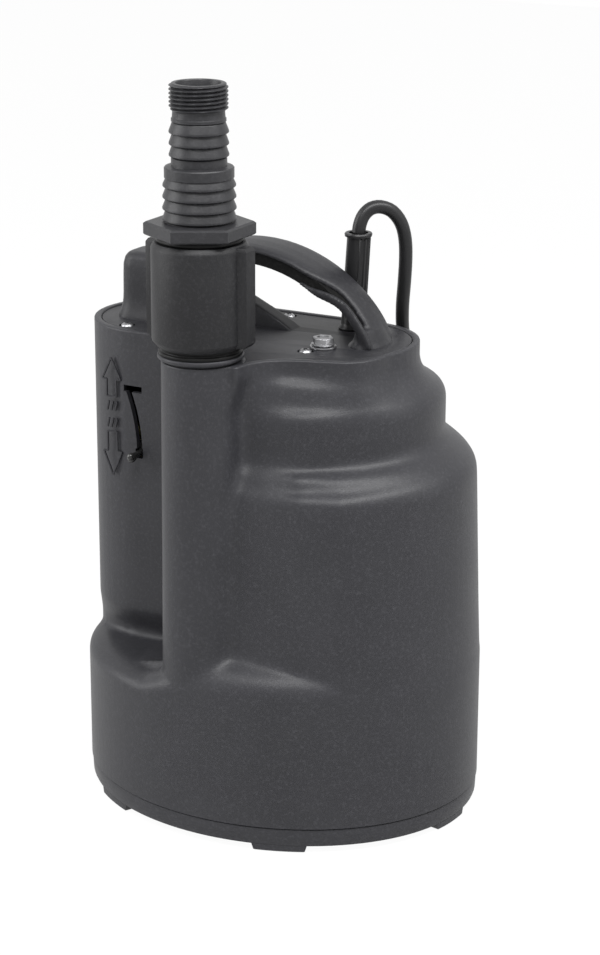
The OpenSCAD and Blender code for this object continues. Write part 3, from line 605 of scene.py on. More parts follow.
LEDGE = (((166.0, 0.0), (165.0, 0.0)), ((169.0, 0.015), (168.5, 0.02)), ((171.5, 0.06), (170.3, 0.08)),
         ((173.5, 0.13), (171.5, 0.18)), ((175.2, 0.21), (172.2, 0.3)), ((176.8, 0.31), (172.8, 0.4)),
         ((178.2, 0.42), (175.6, 0.47)), ((179.6, 0.54), (178.0, 0.53)), ((181.0, 0.67), (179.3, 0.62)),
         ((182.2, 0.78), (180.0, 0.76)), ((183.4, 0.87), (180.6, 0.88)), ((184.8, 0.94), (181.8, 0.96)),
         ((187.0, 1.0), (184.5, 1.0)), ((192.0, 1.02), (192.0, 1.02)))
SHOULDER = (((168.0, 0.0), (168.0, 0.0)), ((202.0, 0.0), (202.0, 0.0)), ((204.0, 0.03), (204.3, 0.03)),
            ((206.0, 0.09), (206.2, 0.1)), ((207.8, 0.18), (207.6, 0.2)), ((209.4, 0.3), (208.4, 0.34)),
            ((210.8, 0.43), (210.2, 0.42)), ((212.2, 0.56), (213.5, 0.5)), ((213.8, 0.69), (217.0, 0.56)),
            ((215.6, 0.8), (219.5, 0.63)), ((217.8, 0.9), (221.0, 0.76)), ((220.5, 0.97), (222.0, 0.88)),
            ((223.0, 1.0), (223.4, 0.96)), ((226.0, 1.0), (226.0, 1.0)))


def frontness(angle):
    """1 in front of the motor and 0 beside and behind it."""
    return max(0.0, -math.sin(angle)) ** 2


def tier_reach(angle, inset):
    """Radius of the tier, which is a little flatter in front."""
    return sizes().tier_r - inset - 6.0 * frontness(angle)


def main_drum(inset, drop):
    """Main drum with its draft, rounded ledge and the slope up to the tier."""
    s = sizes()
    rings = [at_height(drum_outline(inset), DRUM_LOW)]
    for z, draft in ((100.0, 1.2), (140.0, 2.6), (158.0, 3.2)):
        rings.append(at_height(drum_outline(inset + draft), z - drop))
    for beside, in_front in LEDGE:
        ring = []
        for x, y in drum_outline(inset + 3.5):
            out = Vector((x - s.motor_x, y))
            angle = math.atan2(out.y, out.x)
            z = mixed(beside[0], in_front[0], frontness(angle))
            share = mixed(beside[1], in_front[1], frontness(angle))
            tier = out.normalized() * min(out.length, tier_reach(angle, inset))
            near = out.lerp(tier, share) if x > s.tube_x - 20.0 or abs(y) > 38.0 else out
            ring.append((s.motor_x + near.x, near.y, z - drop))
        rings.append(ring)
    return loft("main_drum", rings)


def upper_tier(inset, drop):
    """Round tier over the motor with the shoulder that closes in to the rim."""
    s = sizes()
    rim = stadium(inset)
    wing = ear(inset)
    rings = []
    for beside, in_front in SHOULDER:
        ring = []
        for a in round_angles(144):
            goal = max(reach(rim, s.motor_x, 0.0, a), reach(wing, s.motor_x, 0.0, a))
            side = tier_reach(a, inset)
            z = mixed(beside[0], in_front[0], frontness(a))
            share = mixed(beside[1], in_front[1], frontness(a))
            r = mixed(side, min(side, goal), share)
            ring.append((s.motor_x + r * math.cos(a), r * math.sin(a), z - drop if z > 170.0 else z + drop))
        rings.append(ring)
    return loft("upper_tier", rings)


def hollow():
    """Space inside the housing, a wall's thickness smaller, with the tube's own wall left standing."""
    w = sizes().wall + 0.4
    slide_wall = sizes().wall - 0.3
    steps = ((8.0, 60.0), (8.0, 84.0), (5.5, 89.0), (slide_wall, 95.0), (slide_wall, 221.0))
    chamber = stack("inner_chamber", stadium, steps)
    inner = merge([lower_drum(w, w), main_drum(w, w), upper_tier(w, w), chamber], "inner")
    modify(inner, "REMESH", mode="VOXEL", voxel_size=2.5 * MM, adaptivity=0.0)
    carve(inner, around_tube("jacket", [(STUB_R, 15.0), (STUB_R, 230.0)]))
    return inner


def soften(piece, rounds, weight):
    """Smooths a piece with a strength that depends on the place of each point, in mm."""
    group = piece.vertex_groups.new(name="soft")
    for vert in piece.data.vertices:
        group.add([vert.index], weight(vert.co.x / MM, vert.co.y / MM, vert.co.z / MM), "REPLACE")
    modify(piece, "SMOOTH", factor=0.5, iterations=rounds, vertex_group="soft")
    piece.vertex_groups.clear()


def cut_level(piece, z, keep_below):
    """Cuts a piece flat at a height."""
    low, high = (z, 500.0) if keep_below else (-200.0, z)
    square = [(-300.0, -300.0), (300.0, -300.0), (300.0, 300.0), (-300.0, 300.0)]
    carve(piece, prism("level", square, low, high))


SLOT_ARC_X = -138.2
SLOT_ARC_Z = 171.0
SLOT_ARC_R = 80.0
SLOT_HALF = 1.5
SLOT_LEG = (-66.8, -56.6, 200.4, 203.6)
SLOT_SEAT = (-60.6, -56.4, 168.4, 172.8)


def slot_arc(r, first, sweep):
    """Points on an arc about the slot's centre, as (x, z)."""
    return [(SLOT_ARC_X + r * math.cos(a), SLOT_ARC_Z + r * math.sin(a))
            for a in [math.radians(first + sweep * i / 24) for i in range(25)]]


def selector_slot():
    """Cutter for the curved slot, with its short leg at the top and a wider seat at the bottom."""
    outline = slot_arc(SLOT_ARC_R + SLOT_HALF, -2.2, 25.2) + slot_arc(SLOT_ARC_R - SLOT_HALF, 23.0, -25.2)
    cutter = upright("selector_slot", outline, (-45.0, -25.0))
    for x0, x1, z0, z1 in (SLOT_LEG, SLOT_SEAT):
        box = [(x0, z0), (x1, z0), (x1, z1), (x0, z1)]
        carve(cutter, upright("slot_end", box, (-44.0, -26.0)), "UNION")
    return cutter


def round_rim(piece, z):
    """Rounds the edges at one level."""
    pick(piece)
    bpy.ops.object.mode_set(mode="EDIT")
    bpy.ops.mesh.select_mode(type="EDGE")
    bpy.ops.mesh.select_all(action="DESELECT")
    mesh = bmesh.from_edit_mesh(piece.data)
    for edge in mesh.edges:
        level = all(abs(v.co.z - z * MM) < 1e-5 for v in edge.verts)
        edge.select = level and len(edge.link_faces) == 2 and edge.calc_face_angle(0.0) > 1.0
    bmesh.update_edit_mesh(piece.data)
    bpy.ops.mesh.bevel(offset=0.0007, segments=2, affect="EDGES")
    bpy.ops.object.mode_set(mode="OBJECT")


def beside_tube(x, y, z):
    """Share of smoothing, which is full where the tube runs into the drums and the tier."""
    near = math.hypot(x - 14.0, y + 66.0)
    return max(0.0, min(1.0, (27.0 - near) / 11.0)) * max(0.0, min(1.0, (226.0 - z) / 12.0))


class PUMP_OT_housing(bpy.types.Operator):
    """Housing with its drums, float chamber, tube, rim, slot and threaded stub"""

    bl_idname = "pump.housing"
    bl_label = "Housing"

    def execute(self, context):
        s = sizes()
        chamber = stack("float_chamber", undercut, ((4.0, 66.0), (4.0, 80.0), (1.5, 86.0), (0.0, 90.0),
                                                    (0.0, RAW_TOP)))
        wing = stack("wing", ear, ((5.0, 208.0), (1.5, 218.0), (0.0, 224.0), (0.0, RAW_TOP)))
        tube = around_tube("tube", [(19.8, 40.0), (18.9, 130.0), (18.2, RAW_TOP)])
        shell = merge([lower_drum(0.0, 0.0), main_drum(0.0, 0.0), upper_tier(0.0, 0.0), chamber, wing, tube],
                      "housing_shell")
        modify(shell, "REMESH", mode="VOXEL", voxel_size=1.3 * MM, adaptivity=0.0)
        soften(shell, 60, beside_tube)
        soften(shell, 4, lambda x, y, z: 1.0 if z < 218 else 0.5)
        cut_level(shell, s.rim_z, True)
        cut_level(shell, s.seam_z + 0.15, False)

        carve(shell, prism("pocket", stadium(RIM_WALL), POCKET_Z, 260.0))
        wing_pocket = prism("pocket_wing", ear(RIM_WALL), POCKET_Z, 260.0)
        carve(wing_pocket, around_tube("tube_wall", [(20.3, 220.0), (20.3, 270.0)]))
        carve(shell, wing_pocket)
        round_rim(shell, s.rim_z)
        stub = around_tube("stub", [(15.5, 222.0), (17.2, 230.0), (17.2, 231.2), (19.3, 231.6), (19.8, 232.2),
                                    (19.8, 233.3), (19.4, 233.7), (STUB_R, 233.7), (STUB_R, 244.0),
                                    (15.8, 244.8)])
        carve(shell, stub, "UNION")
        carve(shell, around_tube("tube_bore", [(TUBE_BORE, 21.0), (TUBE_BORE, 260.0)]))
        carve(shell, hollow())
        carve(shell, prism("under_cover", stadium(7.0), 215.0, 226.0))
        carve(shell, selector_slot())
        settle(shell, "body_plastic", nodes=["housing"], angle=50.0)
        return {"FINISHED"}


# Cable and plug


CABLE_POINTS = [(29.37, 20, 277), (29.9, 20.4, 281), (31, 22, 285), (33.5, 24.5, 288), (37, 28, 288.5),
                (41, 32, 286), (44, 35.5, 280), (45, 38, 272), (44.5, 40, 262), (43, 42, 250),
                (41, 44.5, 238), (38.5, 50, 226), (36, 58, 216.5), (33, 67, 210), (31, 74, 201),
                (28, 82, 192.5), (25, 90, 185), (22, 94, 173), (19, 95, 160), (15, 95.5, 145), (11, 96, 130),
                (7, 96.5, 115), (3, 97, 100), (0, 97.5, 85), (-2, 98.5, 70), (-3, 100.4, 55),
                (-3.4, 101, 41.3), (-3.6, 102.3, 31.5), (-4.2, 106.1, 22.3), (-5.4, 112.1, 14.4),
                (-7, 120, 8.4), (-8.8, 129.2, 4.6), (-10.9, 139, 3.3)]
TAIL_POINTS = [(-47.4, 106.4, 9.8), (-44, 111.9, 10), (-41.5, 117.6, 10.4), (-40.2, 126.2, 11.4),
               (-41.4, 135.4, 13.8), (-47, 144.8, 16.6), (-55.5, 151.3, 18.3), (-61.5, 153, 18.5),
               (-65.2, 153, 18.5)]
COIL_X = -80.0
COIL_Y = 142.0
COIL_IN = 45.0
COIL_COLS = 4
COIL_ROWS = 7
STEPS_PER_TURN = 36
RAMP = 25.0
PLUG_PLACE = (COIL_X - 18.0, COIL_Y + 11.0, 18.5)
PLUG_STEPS = ((-0.4, 15.5), (-0.4, 17.6), (0.6, 18.4), (1.4, 18.5), (16.0, 18.5), (19.5, 17.2),
              (24.0, 11.5), (26.5, 8.2), (28.0, 7.0), (34.5, 5.2), (34.5, 3.4))


def coil_points():
    """Centreline of the coil: column after column from the outside in, each wound from row to row."""
    d = sizes().cable_d
    events = []
    turn = 0
    for column in range(COIL_COLS):
        ramp_at = 310.0 - 50.0 * column
        last = column == COIL_COLS - 1
        for _ in range(COIL_ROWS - 2 if last else COIL_ROWS - 1):
            events.append((turn * 360.0 + ramp_at, 0.0, d if column % 2 == 0 else -d))
            turn += 1
        if not last:
            events.append((turn * 360.0 + ramp_at - RAMP, -d, 0.0))
            turn += 1
    end = (turn - 1) * 360.0 + 308.0
    line = []
    step = 360.0 / STEPS_PER_TURN
    for i in range(1, int(end / step) + 1):
        angle = i * step
        r = COIL_IN + d * (COIL_COLS - 0.5)
        z = d / 2 + 0.05
        for start, across, up in events:
            t = eased((angle - start) / RAMP)
            r += across * t
            z += up * t
        a = math.radians(angle)
        line.append((COIL_X + r * math.cos(a), COIL_Y + r * math.sin(a), z))
    return line


def cable_line():
    coil = coil_points()
    lead = smooth_line(CABLE_POINTS + coil[:2], 3)
    tail = smooth_line(coil[-2:] + TAIL_POINTS, 3)
    return lead[:-4] + coil[:-2] + tail


class PUMP_OT_cable(bpy.types.Operator):
    """Mains cable from the strain relief down behind the pump into its coil, and on to the plug"""

    bl_idname = "pump.cable"
    bl_label = "Mains cable"

    def execute(self, context):
        s = sizes()
        route = cable_line()
        curve = bpy.data.curves.new("mains_cable", "CURVE")
        curve.dimensions = "3D"
        spline = curve.splines.new("POLY")
        spline.points.add(len(route) - 1)
        for point, place in zip(spline.points, route):
            point.co = tuple(MM * c for c in place) + (1.0,)
        curve.bevel_depth = s.cable_d / 2 * MM
        curve.bevel_resolution = 6
        curve.use_fill_caps = True
        curve.materials.append(FINISHES["cable_rubber"])
        cable = bpy.data.objects.new("mains_cable", curve)
        bpy.context.collection.objects.link(cable)
        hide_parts("cable", "cable_coil", "cable_tail")
        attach(cable, "pump")
        [MM * c for c in route[0]]
        return {"FINISHED"}


class PUMP_OT_plug(bpy.types.Operator):
    """Moulded earthed plug that lies in the coil"""

    bl_idname = "pump.plug"
    bl_label = "Plug"

    def execute(self, context):
        x, y, z = PLUG_PLACE
        rings = []
        for along, r in PLUG_STEPS:
            ring = []
            for a in round_angles(72):
                flat = min(r, 15.2) if abs(math.sin(a)) < 0.45 and 0.3 < along < 17 else r
                ring.append((x + along, y + flat * math.cos(a), z + r * math.sin(a)))
            rings.append(ring)
        plug = loft("moulded_plug", rings)
        for side in (-1, 1):
            carve(plug, loft("seat", [circle_across_x(x + along, y + 9.5 * side, z, 2.5, 24)
                                      for along in (-3.0, 6.0)]))
        for k in range(3):
            start = x + 29.0 + 2.0 * k
            carve(plug, loft("groove", [circle_across_x(start + along, y, z, r, 32)
                                        for along, r in ((0.0, 5.2), (0.8, 5.2), (0.8, 9.0), (0.0, 9.0))],
                             caps=False))
        settle(plug, "cable_rubber", nodes=["plug_body"], angle=35.0)
        return {"FINISHED"}


# Cover and handle

ARCH_X = -15.5
ARCH_REACH = 68.5
ARCH_HIGH = 43.0
COVER_Z = 230.0
COVER_LOW = 225.6
COVER_INSET = 3.9


def arch_line(turn):
    a = math.radians(turn)
    rise = math.copysign(abs(math.sin(a)) ** 1.4, math.sin(a))
    return Vector((ARCH_X + ARCH_REACH * math.cos(a), COVER_Z + ARCH_HIGH * rise))


def arch_point(turn, inward):
    """Point on the handle's outer line in its own plane, moved inward, as (x, z) in mm."""
    along = (arch_line(turn + 0.5) - arch_line(turn - 0.5)).normalized()
    place = arch_line(turn) + inward * Vector((-along.y, along.x))
    return place.x, place.y


STRAP = ((-9.0, 3.6), (-12.3, 3.6), (-12.9, 3.2), (-13.0, 2.4), (-12.6, 1.5), (-11.2, 0.8), (-8.0, 0.3))
LIP = ((-13.3, 4.6), (-13.3, 0.9), (-12.8, 0.3), (-11.2, 0.2), (-10.5, 0.7), (-10.5, 4.6))


def arch_sweep(name, section, first, last):
    """Sweeps a section, which gives (across, inward) pairs for each angle, along the arch."""
    steps = max(8, int(abs(last - first) / 2))
    rings = []
    for i in range(steps + 1):
        turn = first + (last - first) * i / steps
        ring = []
        for y, inward in section(turn):
            x, z = arch_point(turn, inward)
            ring.append((x, y, z))
        rings.append(ring)
    return loft(name, rings)


def strap_section(turn):
    """Strap of the handle, whose front edge steps back where the lip runs beside it."""
    back = 7.6 * eased((60.0 - turn) / 20.0) * mixed(0.75, 1.0, eased(turn / 40.0))
    front = [(y + back, inward) for y, inward in STRAP]
    return front + [(back / 2, 0.0)] + [(-y, inward) for y, inward in reversed(STRAP)]


def lip_section(turn):
    """Lip that leaves the inner side of the handle and runs down its front edge to the cover."""
    drop = 6.2 * eased((turn - 34.0) / 24.0)
    thin = mixed(1.0, 0.35, eased((turn - 46.0) / 12.0))
    return [(y * mixed(0.93, 1.0, thin), drop + inward * thin + 2.0 * (1.0 - thin)) for y, inward in LIP]


def core_section(turn):
    """Near-black core under the strap that paints the shade of the channel there; it is thinner behind the
    lip.
    """
    deep = mixed(8.8, 3.6, eased((60.0 - turn) / 16.0))
    return [(-11.3, 2.9), (-11.3, deep), (-10.4, deep + 0.6), (10.4, deep + 0.6), (11.3, deep), (11.3, 2.9)]


def tower_rings():
    """Upright float tower, seen from above as a rounded rectangle that flares into the cover."""
    left, right = -84.5, -52.0
    stages = ((226.5, 0.0), (229.8, 0.0), (231.2, 0.15), (233.5, 0.55), (237.0, 0.9), (241.0, 1.0),
              (252.0, 1.02), (256.0, 1.06), (259.2, 1.2), (261.2, 1.5), (262.0, 2.0))
    rings = []
    for z, step in stages:
        grow = 4.5 * (1.0 - min(step, 1.0))
        shrink = 5.0 * max(0.0, step - 1.0)
        reach_right = right + (25.0 * (1.0 - min(step, 1.0)) ** 1.4)
        ring = []
        half = 13.0 + 0.6 * grow - shrink
        r = max(1.5, 7.5 - 0.4 * shrink)
        x0, x1 = left - 0.3 * grow + shrink, reach_right - shrink
        for cx, cy, first in ((x1 - r, half - r, 0), (x0 + r, half - r, 90), (x0 + r, -half + r, 180),
                              (x1 - r, -half + r, 270)):
            for k in range(9):
                a = math.radians(first + 90.0 * k / 8)
                ring.append((cx + r * math.cos(a), cy + r * math.sin(a), z))
        rings.append(ring)
    return rings


def tower_web():
    """Web that sweeps from the tower down to the cover."""
    sweep = []
    for i in range(17):
        t = i / 16
        sweep.append((-54.0 + 58.0 * t, COVER_Z + 27.0 * (1.0 - t) ** 0.85 - 0.6))
    outline = [(-60.0, 228.0), (-60.0, 258.0)] + sweep + [(5.0, 228.0)]
    return upright("web", outline, (2.0, 4.0, 10.0, 12.4))


def handle_foot():
    """Oval foot at the right end of the handle, as height, middle, half length and half width."""
    steps = ((228.5, 46.0, 9.5, 14.8), (230.2, 46.2, 8.8, 14.5), (231.4, 46.4, 7.4, 13.8),
             (233.5, 46.6, 6.2, 12.8), (238.0, 45.8, 4.6, 11.2))
    return loft("foot", [[(x + along * math.cos(a), across * math.sin(a), z) for a in round_angles(48)]
                         for z, x, along, across in steps])


def tower_blend(x, y, z):
    """Where the tower and its web are softened, 0 to 1."""
    return max(0.0, min(1.0, (x + 92.0) / 10.0, (6.0 - x) / 12.0)) if z < 254 else 0.0


COVER_SCREWS = ((-71.0, -26.0), (-30.0, -27.6), (27.0, -28.0), (38.5, 25.0), (-12.0, 27.6), (-71.0, 26.0))


class PUMP_OT_cover(bpy.types.Operator):
    """Cover plate with the float tower and the carrying handle moulded on"""

    bl_idname = "pump.cover"
    bl_label = "Cover and handle"

    def execute(self, context):
        plate = prism("cover_and_handle", stadium(COVER_INSET), COVER_LOW, COVER_Z)
        wing = prism("cover_wing", ear(COVER_INSET), COVER_LOW, COVER_Z)
        carve(wing, around_tube("neck_space", [(20.2, 220.0), (20.2, 235.0)]))
        carve(plate, wing, "UNION")
        modify(plate, "BEVEL", width=0.5 * MM, segments=2, limit_method="ANGLE",
               angle_limit=math.radians(50.0))
        grip = arch_sweep("grip", strap_section, -2.0, 182.0)
        lip = arch_sweep("lip", lip_section, -2.0, 60.0)
        tower = loft("tower", tower_rings())
        body = merge([grip, lip, tower, tower_web(), handle_foot()], "handle_body")
        modify(body, "REMESH", mode="VOXEL", voxel_size=0.8 * MM, adaptivity=0.0)
        soften(body, 3, lambda x, y, z: 1.0)
        soften(body, 22, tower_blend)
        carve(plate, body, "UNION")
        for x, y in COVER_SCREWS:
            carve(plate, turned("screw_seat", [(3.9, 229.0), (3.9, 231.0)], x, y, 32))
        # The cover's finish is darkened: painted shade
        settle(plate, "body_plastic", nodes=["top_cover"], angle=38.0, finish="cover_painted_shade_plastic")

        # Near-black core that paints the shade under the strap
        core = arch_sweep("handle_painted_shade_core", core_section, 3.0, 158.0)
        settle(core, "black_plastic", angle=38.0, finish="shadow_plastic")
        return {"FINISHED"}


CAP_BOLT = (31.2, -18.5)


def cross_slot(piece, x, y, top, size):
    """Cuts a cross recess into a screw head."""
    for wide, deep in ((size, 0.9), (0.9, size)):
        box = [(x - wide / 2, y - deep / 2), (x + wide / 2, y - deep / 2),
               (x + wide / 2, y + deep / 2), (x - wide / 2, y + deep / 2)]
        carve(piece, prism("recess", box, top - 1.4, top + 1.0))


class PUMP_OT_screws(bpy.types.Operator):
    """Cover screws, and the capped oil filling bolt on its washer"""

    bl_idname = "pump.screws"
    bl_label = "Screws and bolt"

    def execute(self, context):
        heads = []
        for x, y in COVER_SCREWS:
            head = turned("cover_screw", [(1.6, 216.0), (1.6, 229.0), (2.8, 229.2), (3.0, 229.7),
                                          (2.8, 230.3), (2.0, 230.9), (0.9, 231.2)], x, y, 40)
            cross_slot(head, x, y, 231.2, 2.8)
            heads.append(head)
        settle(merge(heads, "cover_screws"), "screw_steel", nodes=["cover_screws"], angle=40.0)
        x, y = CAP_BOLT
        bolt = turned("filling_bolt", [(3.0, 222.0), (3.0, 231.4), (5.4, 231.6), (5.6, 232.1), (4.9, 232.5)],
                      x, y, 60)
        head = loft("bolt_head", [circle(x, y, z, r, 6, math.radians(12.0))
                                  for z, r in ((232.0, 5.1), (234.8, 5.1), (235.2, 4.6))])
        carve(bolt, head, "UNION")
        carve(bolt, turned("bolt_dish", [(2.4, 234.7), (3.4, 235.6)], x, y, 40))
        settle(bolt, "screw_steel", nodes=["cap_bolt"], angle=30.0, bevel=0.2)
        washer = turned("bolt_washer", [(3.2, 230.05), (6.2, 230.05), (6.2, 231.1), (3.2, 231.1)], x, y, 60,
                        bored=True)
        settle(washer, "screw_steel", nodes=["cap_bolt_washer"], angle=40.0, bevel=0.15)
        return {"FINISHED"}


# Outlet


# Ribs of the coupling, as height, reach and half width

COUPLING_RIB = ((238.8, 24.4, 3.6), (240.6, 26.2, 4.0), (283.0, 26.2, 4.0), (284.6, 25.0, 3.6))


class PUMP_OT_coupling(bpy.types.Operator):
    """Ribbed coupling nut with a seal above and below it"""

    bl_idname = "pump.coupling"
    bl_label = "Coupling"

    def execute(self, context):
        s = sizes()
        nut = around_tube("coupling", [(17.0, 237.5), (19.6, 237.5), (20.2, 237.9), (22.1, 240.2),
                                       (22.3, 241.0), (22.2, 282.6), (21.9, 283.6), (20.6, 285.3),
                                       (17.0, 285.3)], 120, bored=True)
        for turn in (0.0, 180.0):
            a = math.radians(turn)
            out = Vector((math.cos(a), math.sin(a)))
            side = Vector((-out.y, out.x))
            rings = []
            for z, r, half in COUPLING_RIB:
                corners = []
                for reach_out, across in ((20.5, -half - 0.6), (r, -half), (r, half), (20.5, half + 0.6)):
                    p = out * reach_out + side * across
                    corners.append((s.tube_x + p.x, s.tube_y + p.y, z))
                rings.append(corners)
            carve(nut, loft("rib", rings), "UNION")
        # The coupling's finish is darkened: partly its own tone, partly painted shade
        settle(nut, "fitting_plastic", nodes=["coupling"], angle=38.0, bevel=0.6, segments=3,
               finish="coupling_tone_and_shade_plastic")
        upper = around_tube("adapter_seal", [(17.0, 285.3), (19.4, 285.3), (19.9, 286.4), (19.4, 288.1),
                                             (17.0, 288.1)], 120, bored=True)
        settle(upper, "seal_rubber", nodes=["adapter_seal"], angle=40.0, bevel=0.3)
        lower = around_tube("outlet_seal", [(17.0, 233.7), (19.0, 233.7), (19.3, 234.3), (19.3, 235.2),
                                            (18.3, 235.7), (18.3, 236.4), (19.0, 236.8), (19.0, 237.5),
                                            (17.0, 237.5)], 120, bored=True)
        settle(lower, "seal_rubber", nodes=["outlet_seal"], angle=40.0, bevel=0.25)
        return {"FINISHED"}


THREAD_PITCH = 1.814
THREAD_LOW = 344.0
THREAD_HIGH = 356.0
THREAD_SIDES = 96
ADAPTER_BORE = 9.9

# Barbs of each size, as low end, high end, crest and root

LARGE_BARBS = ((294.6, 299.5, 16.6, 15.3), (299.5, 304.6, 16.6, 15.1), (304.6, 309.7, 16.5, 15.0),
               (309.7, 313.7, 16.4, 15.2))
SMALL_BARBS = ((323.3, 328.4, 13.45, 12.1), (328.4, 333.6, 13.4, 12.0), (333.6, 338.6, 13.4, 12.0))


def barbs(rows):
    """Profile of a row of barbs, as (radius, z)."""
    line = []
    for low, high, crest, root in rows:
        line += [(root, low + 0.05), (crest - 0.5, low + 0.25), (crest, low + 0.7), (crest, low + 1.3),
                 (crest - 0.15, low + 1.7), (root + 0.1, high - 0.3), (root, high - 0.05)]
    return line


def threaded_tip():
    """Tip with its thread turns, which fade out at both ends."""
    s = sizes()
    height = THREAD_HIGH - THREAD_LOW
    rows = int(height / THREAD_PITCH * 12)
    rings = [circle(s.tube_x, s.tube_y, 343.2, r, THREAD_SIDES) for r in (ADAPTER_BORE, 11.6)]
    for row in range(rows + 1):
        z = THREAD_LOW + height * row / rows
        ends = min(1.0, (z - THREAD_LOW) / 0.8, (THREAD_HIGH - z) / 0.8)
        ring = []
        for i, a in enumerate(round_angles(THREAD_SIDES)):
            phase = ((z - THREAD_LOW) / THREAD_PITCH - i / THREAD_SIDES) % 1.0
            wave = min(1.0, max(0.0, 2.6 * abs(phase - 0.5) - 0.25))
            r = mixed(12.0, mixed(13.22, 12.08, wave), max(0.0, ends))
            ring.append((s.tube_x + r * math.cos(a), s.tube_y + r * math.sin(a), z))
        rings.append(ring)
    rings.append(circle(s.tube_x, s.tube_y, THREAD_HIGH, 10.3, THREAD_SIDES))
    rings.append(circle(s.tube_x, s.tube_y, THREAD_HIGH - 0.6, ADAPTER_BORE, THREAD_SIDES))
    return loft("threaded_tip", rings, caps=False)


class PUMP_OT_adapter(bpy.types.Operator):
    """Hose adapter: hexagon, two sizes of barbs and the threaded tip"""

    bl_idname = "pump.adapter"
    bl_label = "Hose adapter"

    def execute(self, context):
        s = sizes()
        outer = [(16.2, 276.5), (16.2, 291.0), (15.6, 294.2)] + barbs(LARGE_BARBS)
        outer += [(15.2, 313.9), (15.7, 314.2), (15.7, 318.4), (15.3, 318.9), (12.6, 319.3), (12.5, 323.0)]
        outer += barbs(SMALL_BARBS)
        outer += [(11.6, 338.9), (12.3, 339.2), (12.3, 340.4), (11.9, 340.8), (11.7, 343.4), (11.7, 343.9)]
        adapter = around_tube("hose_adapter", [(ADAPTER_BORE, 276.5)] + outer + [(ADAPTER_BORE, 343.9)],
                              THREAD_SIDES, bored=True)
        carve(adapter, threaded_tip(), "UNION")

        side_to_corner = math.cos(math.radians(30))
        hexagon = loft("hexagon", [circle(s.tube_x, s.tube_y, z, r / side_to_corner, 6, math.radians(30.0))
                                   for z, r in ((288.1, 21.3), (288.7, 21.9), (293.4, 21.9), (294.2, 20.9))])
        carve(hexagon, around_tube("hexagon_bore", [(11.0, 280.0), (11.0, 300.0)], 64))
        carve(adapter, hexagon, "UNION")
        settle(adapter, "fitting_plastic", nodes=["hose_adapter"], angle=34.0)
        return {"FINISHED"}


# Sleeve from the cover up, as distance along it and radius

SLEEVE_STEPS = ((-3.0, 5.5), (0.0, 6.5), (0.9, 6.7), (1.8, 6.2), (2.6, 5.6), (3.2, 5.5), (44.6, 5.3),
                (45.0, 5.4), (45.3, 6.4), (46.4, 6.6), (47.0, 6.2), (47.0, 4.6), (44.0, 4.3), (44.0, 3.4))


class PUMP_OT_sleeve(bpy.types.Operator):
    """Strain relief sleeve with its ribbed side and top flange"""

    bl_idname = "pump.sleeve"
    bl_label = "Strain relief"

    def execute(self, context):
        foot = Vector((26.5, 20.0, COVER_Z))
        lean = math.tan(math.radians(3.5))
        rings = []
        for along, r in SLEEVE_STEPS:
            ring = []
            for a in round_angles(96):
                facing = math.degrees(a - 2 * math.pi if a > math.pi else a)
                rib = -66.0 < facing < 30.0 and math.cos(math.radians(15.0 * facing)) > 0.0
                thick = 0.7 if rib and 3.0 < along < 44.8 else 0.0
                ring.append((foot.x + along * lean + (r + thick) * math.cos(a),
                             foot.y + (r + thick) * math.sin(a), foot.z + along))
            rings.append(ring)
        sleeve = loft("strain_relief", rings)
        settle(sleeve, "seal_rubber", nodes=["cable_sleeve"], angle=38.0, finish="cable_rubber")
        return {"FINISHED"}


# Base


# Degrees of the base's edge that one foot takes

FOOT_SPREAD = 15.0
FOOT_IN = 9.5


def edge_arc(inset, middle, wide, z):
    """Points along the base's edge, round a direction in degrees."""
    s = sizes()
    line = []
    for k in range(9):
        a = math.radians(middle + wide * (k / 8 - 0.5))
        line.append(((s.base_len / 2 - inset) * math.cos(a), (s.base_wid / 2 - inset) * math.sin(a), z))
    return line


class PUMP_OT_base(bpy.types.Operator):
    """Base plate with its feet and inlet slots under the seam"""

    bl_idname = "pump.base"
    bl_label = "Base plate"

    def execute(self, context):
        s = sizes()
        edge = ((2.0, 3.0), (1.1, 3.3), (0.7, 4.2), (0.4, 10.6), (0.6, 11.6), (1.2, 12.1))
        plate = stack("base_plate", oval, edge)
        carve(plate, stack("tray", oval, ((4.2, 5.6), (4.0, 20.0))))
        for i in range(6):
            middle = -6.0 - 60.0 * i
            rings = []
            for z, inset, narrow in ((0.0, 1.6, 1.0), (0.5, 1.1, 0.3), (3.4, 1.0, -0.8)):
                wide = FOOT_SPREAD - narrow
                rings.append(edge_arc(inset, middle, wide, z) + edge_arc(FOOT_IN, middle, -wide, z))
            carve(plate, loft("foot", rings), "UNION")
        carve(plate, turned("centre_foot", [(9.4, 0.0), (10.0, 0.6), (10.0, 3.5)], 0.0, 0.0, 48), "UNION")
        slots = []
        for i in range(36):
            a = math.radians((i + 0.5) * 10.0)
            out = Vector((math.cos(a), math.sin(a)))
            side = Vector((-out.y, out.x)) * 1.5
            near = out * (s.base_wid / 2 - 40.0)
            far = out * (s.base_wid / 2 - 20.0)
            corners = (near - side, far - side, far + side, near + side)
            slots.append(prism("suction_slot", corners, 2.0, 7.0))
        carve(plate, merge(slots, "suction_slots"))
        settle(plate, "body_plastic", nodes=["base_plate"], angle=35.0)
        return {"FINISHED"}


# Selector and arrows on the panel


SELECTOR_PLACE = (-58.6, 170.0)
SELECTOR_STEPS = ((-38.0, 1.4), (-40.8, 1.5), (-42.4, 1.9), (-43.6, 2.3), (-44.6, 2.2), (-45.2, 1.6),
                  (-45.5, 0.8))
PANEL_Y = -36.9
BAR_WIDE = 0.7
BAR_HIGH = 0.8


